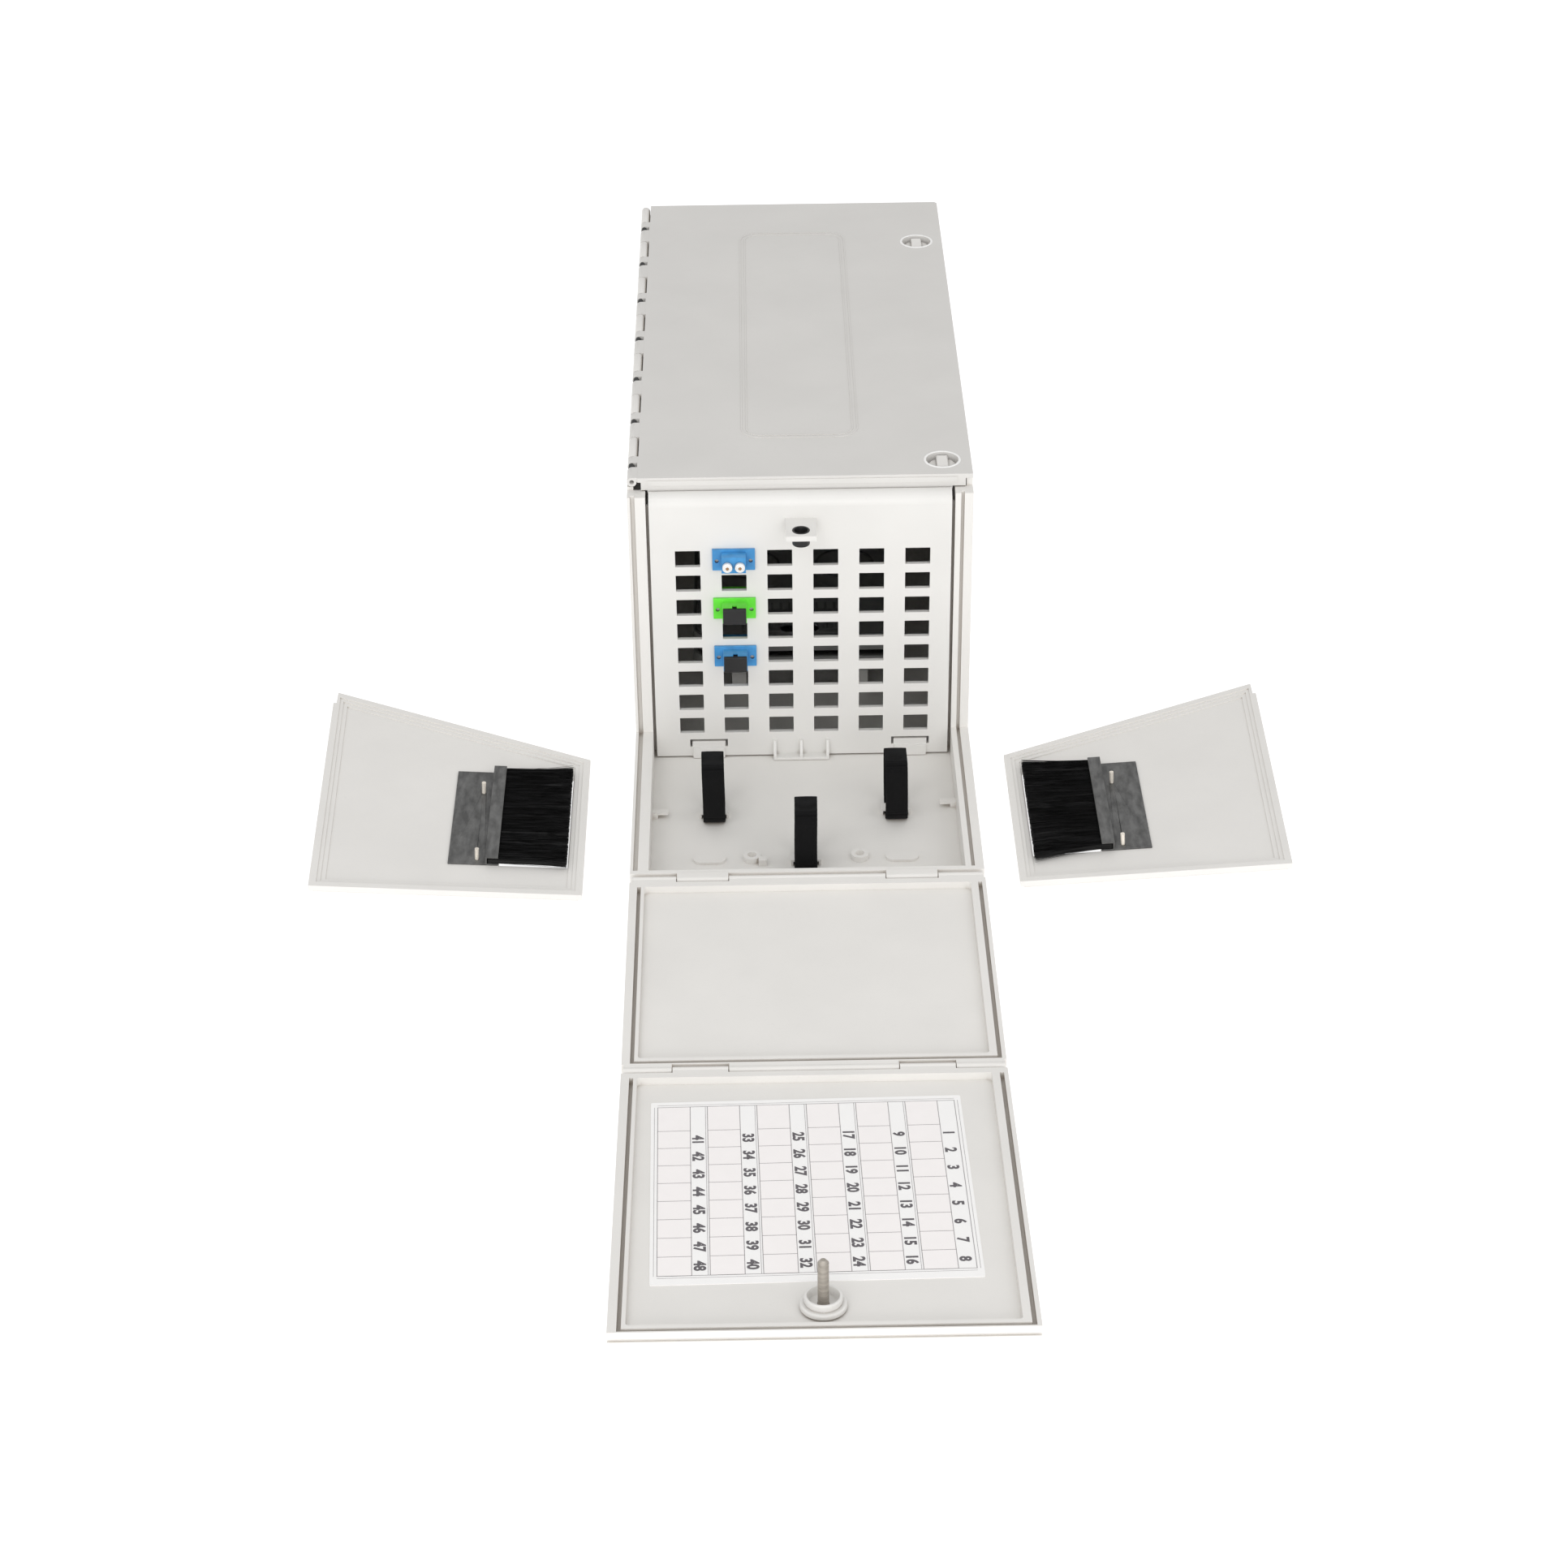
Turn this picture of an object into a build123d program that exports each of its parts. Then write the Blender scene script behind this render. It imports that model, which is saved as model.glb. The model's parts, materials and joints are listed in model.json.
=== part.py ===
from build123d import *
from math import atan2, cos, degrees, radians, sin, sqrt
import os

# Fiber termination box, lying on its back: +Z up from the wall side, -Y towards the lower end.
# Origin on the outer back face, in the middle of the width, in the plane of the patch panel's front.

# ---------------------------------------------------------------- driving dimensions (mm)
WIDTH = 180.0            # outside width of the box
HEIGHT = 170.0           # back face to the top of the splice cover
SPLICE_L = 366.0         # patch panel front to the outer rear wall
BAY_L = 140.0            # patch panel front to the end door's hinge axis
END_DOOR_L = 156.9       # end door, hinge axis to hinge axis
FRONT_DOOR_L = 199.5     # front door, hinge axis to free edge
FRONT_DOOR_TILT = 5.0    # degrees that the open front door stays short of flat
FLOOR_T = 3.0
WALL_T = 3.2
RIM_W = 9.4              # double rim beside the bay and the panel
RIM_Z = 19.5             # top of the bay's rims
BAY_GROOVE = {-1: (1.5, 3.9), 1: (4.6, 6.4)}    # each side's groove, from the outer face
GROOVE_D = 2.4           # depth of the grooves that take the side panels
DOOR_GROOVE = {-1: (4.0, 5.9), 1: (2.0, 4.0)}
PANEL_T = 2.5            # patch panel plate
COVER_T = 2.5
LEDGE_L = 7.4            # front edge of the cover, behind the panel's front
LEDGE_Z = 162.8          # top of the panel's bend, under the closed front door
DOOR_T = 6.0             # rim top to outer face
DOOR_PLATE = 2.0
DOOR_RIM_W = 7.6
AXIS_DROP = 2.0          # door hinge axis below the rim's top
PIN_R = 1.2
BORE_R = 1.26            # running bore on a hinge pin
KNUCKLE_R = 2.4
HINGE_GAP = 3.5          # hinge axis to the edge of a door's tray
TAB_X = 53.0             # middle of the 26 mm hinge tabs
TAB_W = 26.0
CLEAR = 0.4

# ports
PORT_W = 13.1
PORT_H = 9.6
PORT_COLS = 6
PORT_ROWS = 8
PORT_PITCH_X = 24.17
PORT_PITCH_Z = 14.67
GRID_X = 1.0
GRID_Z = 74.5

# derived
HALF = WIDTH / 2
PANEL_HALF = HALF - RIM_W - 1.6
BEND_R = 6.6             # bend at the top of the patch panel
AXIS_Z = RIM_Z - AXIS_DROP
DOOR_EDGE = RIM_W - 2.0
LIP_Y = -(BAY_L - 4.0)
tilt = radians(FRONT_DOOR_TILT)
AXIS2_Y = -(BAY_L + END_DOOR_L)
end_plane = Plane(origin=(0, -BAY_L, AXIS_Z), x_dir=(1, 0, 0), z_dir=(0, 0, 1))
front_plane = Plane(origin=(0, AXIS2_Y, AXIS_Z), x_dir=(1, 0, 0), z_dir=(0, sin(tilt), cos(tilt)))

os.makedirs("parts", exist_ok=True)


def save(piece, name):
    """Label a finished sub-part and write it."""
    piece.part.label = name
    export_step(piece.part, f"parts/{name}.step")


def span(x0, x1, y0, y1):
    """A rectangle in the current sketch, given by its corners."""
    with Locations(((x0 + x1) / 2, (y0 + y1) / 2)):
        Rectangle(x1 - x0, y1 - y0)


def block(x0, x1, y0, y1, z0, z1, mode=Mode.ADD):
    """A box in the current part, given by its corners."""
    with Locations(((x0 + x1) / 2, (y0 + y1) / 2, (z0 + z1) / 2)):
        Box(x1 - x0, y1 - y0, z1 - z0, mode=mode)


def rod_x(x0, x1, y, z, r, mode=Mode.ADD):
    """A cylinder along X."""
    with Locations(((x0 + x1) / 2, y, z)):
        Cylinder(r, x1 - x0, rotation=(0, 90, 0), mode=mode)


def rod_y(y0, y1, x, z, r, mode=Mode.ADD):
    """A cylinder along Y."""
    with Locations((x, (y0 + y1) / 2, z)):
        Cylinder(r, y1 - y0, rotation=(90, 0, 0), mode=mode)


# ---------------------------------------------------------------- hinge of the splice cover
COVER_AXIS_X = -87.5
COVER_AXIS_Z = 167.4
COVER_KNUCKLE_R = 2.5
COVER_PITCH = 51.5       # one tray knuckle and one gap per pitch
COVER_FIRST = 44.0       # middle of the first tray knuckle
TRAY_KNUCKLE_L = 22.0
GAP_L = 5.0
HINGE_COUNT = 7
HINGE_START = LEDGE_L + 0.7
HINGE_END = SPLICE_L - WALL_T - 0.4
tray_knuckles = [COVER_FIRST + COVER_PITCH * k for k in range(HINGE_COUNT)]
cover_gaps = [y - 21.0 for y in tray_knuckles]
LEFT_WALL_Z = COVER_AXIS_Z - COVER_KNUCKLE_R - 0.7

# ---------------------------------------------------------------- places on the floor
WALL_SCREW_X = 28.0
WALL_SCREW_Y = (-100.0, 300.0)
WALL_SCREW_R = 2.3
STRAPS = {"left": (-47.8, -58.2), "right": (48.3, -57.2), "centre": (0.0, -103.5)}
STRAP_W = 12.4
STRAP_T = 1.6
STRAP_D = 21.0
STRAP_H = 36.0
STRAP_R = 5.0
ENTRY_X = (-60.0, -20.0, 20.0, 60.0)
ENTRY_Z = 32.0
ENTRY_R = 10.0
GROMMET_R = 5.0
CLAMP_Y = 332.0
CLAMP_X = (-40.0, 40.0)  # each clamp holds two cables
PLATE_X = (-84.8, 86.6)  # the entry plate is the whole rear wall
PLATE_IN = SPLICE_L - WALL_T
SADDLE_R = 9.5
CLAMP_SCREW_R = 1.7
SPOOL_Y = 240.0
SPOOL_R = 40.0
CASSETTE_L = 112.0
CASSETTE_W = 118.0
CASSETTE_AXIS_Y = 176.0
CASSETTE_Z = 22.0
CASSETTE_STEP = 13.0

# ---------------------------------------------------------------- base tray
with BuildPart() as base_tray:
    with BuildSketch(Plane.XY):
        span(-HALF, HALF, LIP_Y, SPLICE_L)
    extrude(amount=FLOOR_T)
    # walls of the splice compartment: left wall low under the hinge, right wall full
    with BuildSketch(Plane.XY.offset(FLOOR_T)):
        span(-HALF, -HALF + WALL_T, 0, SPLICE_L)
        span(-HALF, PLATE_X[0] - 0.2, PLATE_IN, SPLICE_L)
    extrude(amount=LEFT_WALL_Z - FLOOR_T)
    with BuildSketch(Plane.XY.offset(FLOOR_T)):
        span(HALF - WALL_T, HALF, 0, SPLICE_L)
    extrude(amount=HEIGHT - COVER_T - 0.3 - FLOOR_T)
    # pilasters beside the patch panel, with lugs that reach behind the panel's edges
    with BuildSketch(Plane.XY.offset(FLOOR_T)):
        for s in (-1, 1):
            span(*sorted((s * (HALF - RIM_W), s * HALF)), 0, 9)
    extrude(amount=LEDGE_Z - 0.3 - FLOOR_T)
    with BuildSketch(Plane.XY.offset(FLOOR_T)):
        for s in (-1, 1):
            span(*sorted((s * (PANEL_HALF - 3.5), s * (PANEL_HALF - 0.3))), PANEL_T, 9)
            span(*sorted((s * (PANEL_HALF - 3.5), s * (HALF - RIM_W))), 7.4, 9)
    extrude(amount=LEDGE_Z - BEND_R - 2 - FLOOR_T)
    # room above the pilasters for the front door's rims
    for s in (-1, 1):
        block(*sorted((s * (HALF - RIM_W - 1), s * (HALF + 1))), -1, 9.1, LEDGE_Z - 0.3, HEIGHT,
              Mode.SUBTRACT)
    # double rims beside the patching bay and the front lip
    with BuildSketch(Plane.XY.offset(FLOOR_T)):
        for s in (-1, 1):
            span(*sorted((s * (HALF - RIM_W), s * HALF)), LIP_Y, 0)
        span(-HALF, HALF, LIP_Y, LIP_Y + 3)
    extrude(amount=RIM_Z - FLOOR_T)
    for s in (-1, 1):
        groove = sorted(s * (HALF - edge) for edge in BAY_GROOVE[s])
        block(*groove, LIP_Y + 3, GROOVE_D, RIM_Z - GROOVE_D, RIM_Z + 1, Mode.SUBTRACT)
        block(*groove, -1, GROOVE_D, RIM_Z - GROOVE_D, LEDGE_Z + 1, Mode.SUBTRACT)
    # knuckles of the splice cover's hinge
    for y in tray_knuckles:
        rod_y(y - TRAY_KNUCKLE_L / 2, y + TRAY_KNUCKLE_L / 2, COVER_AXIS_X, COVER_AXIS_Z, COVER_KNUCKLE_R)
        block(-HALF, -HALF + WALL_T + 1.8, y - TRAY_KNUCKLE_L / 2, y + TRAY_KNUCKLE_L / 2,
              LEFT_WALL_Z - 4, COVER_AXIS_Z)
    rod_y(0, SPLICE_L, COVER_AXIS_X, COVER_AXIS_Z, PIN_R, Mode.SUBTRACT)
    # pockets under the gaps between the cover's knuckles
    for y in cover_gaps:
        block(-HALF + 1, -HALF + WALL_T + 2.4, y - GAP_L / 2, y + GAP_L / 2, 150, HEIGHT, Mode.SUBTRACT)
    # knuckles of the end door's hinge
    for s in (-1, 1):
        x0, x1 = s * TAB_X - TAB_W / 2, s * TAB_X + TAB_W / 2
        rod_x(x0, x1, -BAY_L, AXIS_Z, KNUCKLE_R)
        block(x0, x1, -BAY_L, LIP_Y, AXIS_Z - KNUCKLE_R, AXIS_Z + KNUCKLE_R)
    rod_x(-HALF, HALF, -BAY_L, AXIS_Z, PIN_R, Mode.SUBTRACT)
    # bosses with the wall screw holes
    with BuildSketch(Plane.XY.offset(FLOOR_T)):
        with Locations(*[(s * WALL_SCREW_X, y) for s in (-1, 1) for y in WALL_SCREW_Y]):
            Circle(4.6)
    extrude(amount=3.0)
    with Locations(*[(s * WALL_SCREW_X, y, 3) for s in (-1, 1) for y in WALL_SCREW_Y]):
        Cylinder(WALL_SCREW_R, 12, mode=Mode.SUBTRACT)
    # raised ovals, a stop block and two cable hooks on the bay's floor
    with BuildSketch(Plane.XY.offset(FLOOR_T)):
        with Locations((-50, -100.5), (50, -100.5)):
            SlotOverall(17, 8)
    extrude(amount=1.4)
    block(-24.6, -20.4, -106.4, -102.2, FLOOR_T, FLOOR_T + 3.4)
    for s, y in ((-1, -58.4), (1, -52.0)):
        block(*sorted((s * 77.5, s * (HALF - RIM_W))), y - 2, y + 2, FLOOR_T, FLOOR_T + 3.4)
        block(*sorted((s * 72.0, s * 77.5)), y - 2, y + 2, FLOOR_T + 2.2, FLOOR_T + 3.4)
    # low bridges that hold the straps
    for x, y in STRAPS.values():
        for s in (-1, 1):
            block(*sorted((x + s * 6.6, x + s * 7.8)), y - 3, y + 3, FLOOR_T, FLOOR_T + 3.6)
        block(x - 7.8, x + 7.8, y - 3, y + 3, FLOOR_T + 2.4, FLOOR_T + 3.6)
    # ribs that hold the entry plate
    for s in (-1, 1):
        block(*sorted((s * (HALF - WALL_T - 4), s * (HALF - WALL_T))), PLATE_IN - 3.4, PLATE_IN, FLOOR_T, 150)
    # fibre guide fingers along the splice compartment's side walls
    for s in (-1, 1):
        for y in (40.0, 120.0, 200.0, 280.0):
            block(*sorted((s * (HALF - WALL_T - 9), s * (HALF - WALL_T))), y - 4, y + 4, 40, 42)
            block(*sorted((s * (HALF - WALL_T - 9), s * (HALF - WALL_T - 7.4))), y - 4, y + 4, 32, 42)
    corner = base_tray.edges().filter_by(Axis.Z).filter_by_position(Axis.Y, SPLICE_L - 0.01, SPLICE_L + 0.01)
    fillet(corner.filter_by_position(Axis.X, HALF - 0.01, HALF + 0.01), 2.5)
save(base_tray, "base_tray")

# one short pin through each tray knuckle and into the cover's knuckles beside it
with BuildPart() as cover_hinge_pins:
    for y in tray_knuckles:
        rod_y(y - 16, min(y + 16, SPLICE_L - 3), COVER_AXIS_X, COVER_AXIS_Z, PIN_R)
save(cover_hinge_pins, "cover_hinge_pins")

with BuildPart() as end_door_hinge_pin:
    rod_x(-HALF + 2, HALF - 2, -BAY_L, AXIS_Z, PIN_R)
save(end_door_hinge_pin, "end_door_hinge_pin")

# ---------------------------------------------------------------- patch panel
EYE_Y = -13.2
EYE_Z = 149.4
EYE_R = 4.6
EYE_WEB = 15.0           # depth of the V-shaped web under the lock eye
HOOKS_X = (-50.6, 58.6)
panel_plane = Plane(origin=(0, 0, 0), x_dir=(1, 0, 0), z_dir=(0, -1, 0))

with BuildPart() as patch_panel:
    # plate with a rounded bend at its top
    with BuildSketch(Plane.YZ.offset(-PANEL_HALF)):
        with BuildLine():
            Polyline((PANEL_T, LEDGE_Z - BEND_R), (PANEL_T, FLOOR_T + 0.7), (0, FLOOR_T + 0.7),
                     (0, LEDGE_Z - BEND_R))
            CenterArc((BEND_R, LEDGE_Z - BEND_R), BEND_R, 90, 90)
            Line((BEND_R, LEDGE_Z), (BEND_R, LEDGE_Z - PANEL_T))
            CenterArc((BEND_R, LEDGE_Z - BEND_R), BEND_R - PANEL_T, 90, 90)
        make_face()
    extrude(amount=2 * PANEL_HALF)
    with BuildSketch(panel_plane.offset(-PANEL_T)):
        with Locations((GRID_X, GRID_Z)):
            with GridLocations(PORT_PITCH_X, PORT_PITCH_Z, PORT_COLS, PORT_ROWS):
                Rectangle(PORT_W, PORT_H)
        # inverted U slots that free the two snap hooks
        for x in HOOKS_X:
            with Locations((x, 13.6)):
                Rectangle(20.4, 1.3)
            with Locations((x - 9.6, 11.6), (x + 9.6, 11.6)):
                Rectangle(1.2, 4.2)
    extrude(amount=PANEL_T, mode=Mode.SUBTRACT)
    # lock eye on a V-shaped web
    with BuildSketch(Plane.XY.offset(EYE_Z - 3)):
        span(-8, 8, EYE_Y - 7, 0)
        with Locations((0, EYE_Y)):
            Circle(EYE_R, mode=Mode.SUBTRACT)
    extrude(amount=3)
    with BuildSketch(panel_plane):
        with BuildLine():
            Polyline((-7.6, EYE_Z - 3), (7.6, EYE_Z - 3), (0, EYE_Z - 3 - EYE_WEB), close=True)
        make_face()
        with BuildLine():
            Polyline((-6.2, EYE_Z - 2), (6.2, EYE_Z - 2), (0, EYE_Z - EYE_WEB), close=True)
        make_face(mode=Mode.SUBTRACT)
    extrude(amount=-EYE_Y - EYE_R - 0.6)
    with BuildSketch(Plane.YZ.offset(-9)):
        with BuildLine():
            Polyline((EYE_Y + EYE_R, EYE_Z - 3), (EYE_Y + EYE_R - 8, EYE_Z - 3),
                     (EYE_Y + EYE_R - 8, EYE_Z - 24), (-0.01, EYE_Z - 24), (-0.01, EYE_Z - 3 - EYE_WEB),
                     close=True)
        make_face()
    extrude(amount=18, mode=Mode.SUBTRACT)
    # finger tab in the middle of the lower edge, with three ribs
    block(-15.6, 14.6, -5, 0, FLOOR_T + 0.2, FLOOR_T + 1.8)
    block(-15.6, 14.6, -0.5, 1, FLOOR_T + 0.2, FLOOR_T + 1.8)
    for x in (-14.8, -0.5, 13.8):
        with BuildSketch(Plane.YZ.offset(x - 0.8)):
            with BuildLine():
                Polyline((0, FLOOR_T + 0.2), (-5, FLOOR_T + 0.2), (-5, FLOOR_T + 3), (-1.5, 13.6), (0, 13.6),
                         close=True)
            make_face()
        extrude(amount=1.6)
    # snap hooks in front of the lower edge
    for x in HOOKS_X:
        block(x - 8.6, x + 8.6, -1.6, 0, FLOOR_T + 0.2, FLOOR_T + 6.4)
save(patch_panel, "patch_panel")

with BuildPart() as lock_bushing:
    with BuildSketch(Plane.XY.offset(EYE_Z - 8)):
        with Locations((0, EYE_Y)):
            Circle(EYE_R)
            Circle(EYE_R - 1.0, mode=Mode.SUBTRACT)
    extrude(amount=8)
save(lock_bushing, "lock_bushing")


# ---------------------------------------------------------------- adapters and dust caps
ADAPTER_COL = GRID_X - 1.5 * PORT_PITCH_X
ROW_LC = GRID_Z + 3.5 * PORT_PITCH_Z
ROW_GREEN = GRID_Z + 1.5 * PORT_PITCH_Z
ROW_BLUE = GRID_Z - 0.5 * PORT_PITCH_Z
FLANGE_W = 22.4
FLANGE_H = 12.2
FLANGE_T = 1.6
SC_FRONT = 9.0
LC_FRONT = 7.6
LC_BORE_X = 3.3
CAP_STEM_R = 1.55


def adapter_shell(z, front):
    """Flange with two screw holes, front housing and rear housing of one adapter."""
    x = ADAPTER_COL
    block(x - FLANGE_W / 2, x + FLANGE_W / 2, -FLANGE_T, 0, z - FLANGE_H / 2, z + FLANGE_H / 2)
    block(x - 6.4, x + 6.4, -front, 14, z - 4.65, z + 4.65)
    for s in (-1, 1):
        rod_y(-3, 1, x + s * 8.9, z - 0.6, 1.1, Mode.SUBTRACT)


def sc_adapter(name, z):
    """SC simplex adapter with an open socket at each end."""
    with BuildPart() as shell:
        adapter_shell(z, SC_FRONT)
        x = ADAPTER_COL
        block(x - 4.8, x + 4.8, -SC_FRONT - 1, -0.5, z - 3.8, z + 3.8, Mode.SUBTRACT)
        block(x - 4.8, x + 4.8, 5, 15, z - 3.8, z + 3.8, Mode.SUBTRACT)
        rod_y(-3, 8, x, z, 1.6)
        rod_y(-4, 9, x, z, 1.25, Mode.SUBTRACT)
        block(x - 1.2, x + 1.2, -SC_FRONT - 1, -SC_FRONT + 2.4, z + 3, z + 6, Mode.SUBTRACT)
    save(shell, name)


def sc_cap(name, z):
    """Dust cap that plugs into an SC socket."""
    with BuildPart() as cap:
        x = ADAPTER_COL
        block(x - 6.1, x + 6.1, -SC_FRONT - 2.2, -SC_FRONT - 0.3, z - 4.5, z + 4.5)
        block(x - 4.4, x + 4.4, -SC_FRONT - 0.3, -SC_FRONT + 3.6, z - 3.4, z + 3.4)
        fillet(cap.edges().group_by(Axis.Y)[0], 0.5)
    save(cap, name)


sc_adapter("adapter_sc_green", ROW_GREEN)
sc_adapter("adapter_sc_blue", ROW_BLUE)
sc_cap("dust_cap_sc_upper", ROW_GREEN)
sc_cap("dust_cap_sc_lower", ROW_BLUE)

with BuildPart() as adapter_lc_blue:
    adapter_shell(ROW_LC, LC_FRONT)
    for s in (-1, 1):
        rod_y(-LC_FRONT - 1, 13, ADAPTER_COL + s * LC_BORE_X, ROW_LC - 0.6, CAP_STEM_R + 0.06, Mode.SUBTRACT)
save(adapter_lc_blue, "adapter_lc_blue")

for side, s in (("left", -1), ("right", 1)):
    with BuildPart() as lc_cap:
        lc_x = ADAPTER_COL + s * LC_BORE_X
        rod_y(-LC_FRONT - 2.4, -LC_FRONT - 0.3, lc_x, ROW_LC - 0.6, 2.6)
        rod_y(-LC_FRONT - 0.3, -LC_FRONT + 6, lc_x, ROW_LC - 0.6, CAP_STEM_R)
        fillet(lc_cap.edges().group_by(Axis.Y)[0], 0.5)
    save(lc_cap, f"dust_cap_lc_{side}")

# ---------------------------------------------------------------- cable straps
for side, (x, y) in STRAPS.items():
    with BuildPart() as strap:
        with BuildSketch(Plane.YZ.offset(x - STRAP_W / 2)):
            with Locations((y, FLOOR_T + STRAP_H / 2)):
                RectangleRounded(STRAP_D, STRAP_H, STRAP_R)
                RectangleRounded(STRAP_D - 2 * STRAP_T, STRAP_H - 2 * STRAP_T, STRAP_R - STRAP_T,
                                 mode=Mode.SUBTRACT)
        extrude(amount=STRAP_W)
    save(strap, f"cable_strap_{side}")

# ---------------------------------------------------------------- inside the splice compartment
with BuildPart() as entry_plate:
    block(*PLATE_X, PLATE_IN, SPLICE_L, FLOOR_T, HEIGHT - COVER_T - 0.3)
    for x in ENTRY_X:
        rod_y(PLATE_IN - 1, SPLICE_L + 1, x, ENTRY_Z, ENTRY_R, Mode.SUBTRACT)
save(entry_plate, "entry_plate")

for k, x in enumerate(ENTRY_X):
    with BuildPart() as grommet:
        for y0, y1 in ((PLATE_IN - 2, PLATE_IN), (SPLICE_L, SPLICE_L + 1.6)):
            rod_y(y0, y1, x, ENTRY_Z, ENTRY_R + 2.0)
        rod_y(PLATE_IN - 2, SPLICE_L + 1.6, x, ENTRY_Z, ENTRY_R)
        rod_y(PLATE_IN - 3, SPLICE_L + 3, x, ENTRY_Z, GROMMET_R, Mode.SUBTRACT)
    save(grommet, f"entry_grommet_{k + 1}")

for side, x in zip(("left", "right"), CLAMP_X):
    with BuildPart() as saddle:
        block(x - 38, x + 38, CLAMP_Y - 6, CLAMP_Y + 6, FLOOR_T, ENTRY_Z - 7)
        for dx in (-20.0, 20.0):
            rod_y(CLAMP_Y - 7, CLAMP_Y + 7, x + dx, ENTRY_Z, SADDLE_R, Mode.SUBTRACT)
        with Locations((x, CLAMP_Y, ENTRY_Z - 7)):
            Hole(CLAMP_SCREW_R, depth=ENTRY_Z - 7 - FLOOR_T)
    save(saddle, f"cable_saddle_{side}")

for side, x in zip(("left", "right"), CLAMP_X):
    with BuildPart() as clamp:
        block(x - 38, x + 38, CLAMP_Y - 6, CLAMP_Y + 6, ENTRY_Z - 7, ENTRY_Z + 12)
        for dx in (-20.0, 20.0):
            rod_y(CLAMP_Y - 7, CLAMP_Y + 7, x + dx, ENTRY_Z, SADDLE_R, Mode.SUBTRACT)
        fillet(clamp.edges().filter_by(Axis.Y).group_by(Axis.Z)[-1], 2)
        with Locations((x, CLAMP_Y, ENTRY_Z + 12)):
            CounterBoreHole(CLAMP_SCREW_R, 3.6, 2.2)
    save(clamp, f"cable_clamp_{side}")

with BuildPart() as clamp_screws:
    for x in CLAMP_X:
        seat = ENTRY_Z + 12 - 2.2
        with Locations((x, CLAMP_Y, seat + 1)):
            Cylinder(3.3, 2.0)
        with Locations((x, CLAMP_Y, (seat + FLOOR_T + 4) / 2)):
            Cylinder(CLAMP_SCREW_R, seat - FLOOR_T - 4)
        block(x - 0.4, x + 0.4, CLAMP_Y - 2.6, CLAMP_Y + 2.6, seat + 1.2, seat + 3, Mode.SUBTRACT)
save(clamp_screws, "clamp_screws")

with BuildPart() as slack_spool:
    with BuildSketch(Plane.XY.offset(FLOOR_T)):
        with Locations((0, SPOOL_Y)):
            Circle(SPOOL_R)
            Circle(SPOOL_R - 12, mode=Mode.SUBTRACT)
    extrude(amount=1.6)
    with BuildSketch(Plane.XY.offset(FLOOR_T)):
        with Locations((0, SPOOL_Y)):
            Circle(SPOOL_R - 10)
            Circle(SPOOL_R - 12, mode=Mode.SUBTRACT)
    extrude(amount=16)
    with BuildSketch(Plane.XY.offset(FLOOR_T + 14.4)):
        with Locations((0, SPOOL_Y)):
            with PolarLocations(SPOOL_R - 6, 6):
                Rectangle(11, 14)
    extrude(amount=1.6)
save(slack_spool, "slack_spool")

# ---------------------------------------------------------------- splice cassettes
CASSETTE_WALL = 2.0
CASSETTE_H = 9.0
BRACKET_SCREWS = ((0, 70), (-20, CASSETTE_AXIS_Y + 10), (20, CASSETTE_AXIS_Y + 10))


def cassette(z, name):
    """Open fibre cassette with winding hubs; its rear lugs turn on a pin."""
    y0, y1 = CASSETTE_AXIS_Y - 6 - CASSETTE_L, CASSETTE_AXIS_Y - 6
    with BuildPart() as tray:
        with BuildSketch(Plane.XY.offset(z)):
            with Locations((0, (y0 + y1) / 2)):
                RectangleRounded(CASSETTE_W, CASSETTE_L, 12)
        extrude(amount=CASSETTE_H)
        with BuildSketch(Plane.XY.offset(z + 1.8)):
            with Locations((0, (y0 + y1) / 2)):
                RectangleRounded(CASSETTE_W - 2 * CASSETTE_WALL, CASSETTE_L - 2 * CASSETTE_WALL, 10)
                with Locations((-27, 26), (27, 26)):
                    Circle(17, mode=Mode.SUBTRACT)
                    Circle(15.4)
        extrude(amount=CASSETTE_H, mode=Mode.SUBTRACT)
        for s in (-1, 1):
            block(*sorted((s * 36, s * 44)), y1 - 1, CASSETTE_AXIS_Y, z, z + 5)
            rod_x(*sorted((s * 36, s * 44)), CASSETTE_AXIS_Y, z + 2.5, 2.5)
            rod_x(*sorted((s * 35.4, s * 50)), CASSETTE_AXIS_Y, z + 2.5, BORE_R, Mode.SUBTRACT)
        if name == "cassette_lower":
            # ears that carry the next cassette's pins, behind that cassette's rear wall
            next_z = z + CASSETTE_STEP + 2.5
            for s in (-1, 1):
                ear = sorted((s * 28, s * 35))
                block(*ear, y1 - 1, CASSETTE_AXIS_Y + 2.5, z, z + CASSETTE_H - 1)
                block(*ear, CASSETTE_AXIS_Y - 2.5, CASSETTE_AXIS_Y + 2.5, z, next_z)
                rod_x(*ear, CASSETTE_AXIS_Y, next_z, 2.5)
            rod_x(-50, 50, CASSETTE_AXIS_Y, next_z, PIN_R, Mode.SUBTRACT)
    save(tray, name)


def splice_holder(z, name):
    """Comb that takes twelve splice protectors, stuck to the cassette's floor."""
    with BuildPart() as comb:
        block(-32, 32, 76, 98, z + 1.8, z + 3.2)
        for k in range(13):
            x = -30 + 5 * k
            block(x - 0.7, x + 0.7, 76, 98, z + 3.2, z + 7.4)
    save(comb, name)


cassette(CASSETTE_Z, "cassette_lower")
cassette(CASSETTE_Z + CASSETTE_STEP, "cassette_upper")
splice_holder(CASSETTE_Z, "splice_holder_lower")
splice_holder(CASSETTE_Z + CASSETTE_STEP, "splice_holder_upper")

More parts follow.
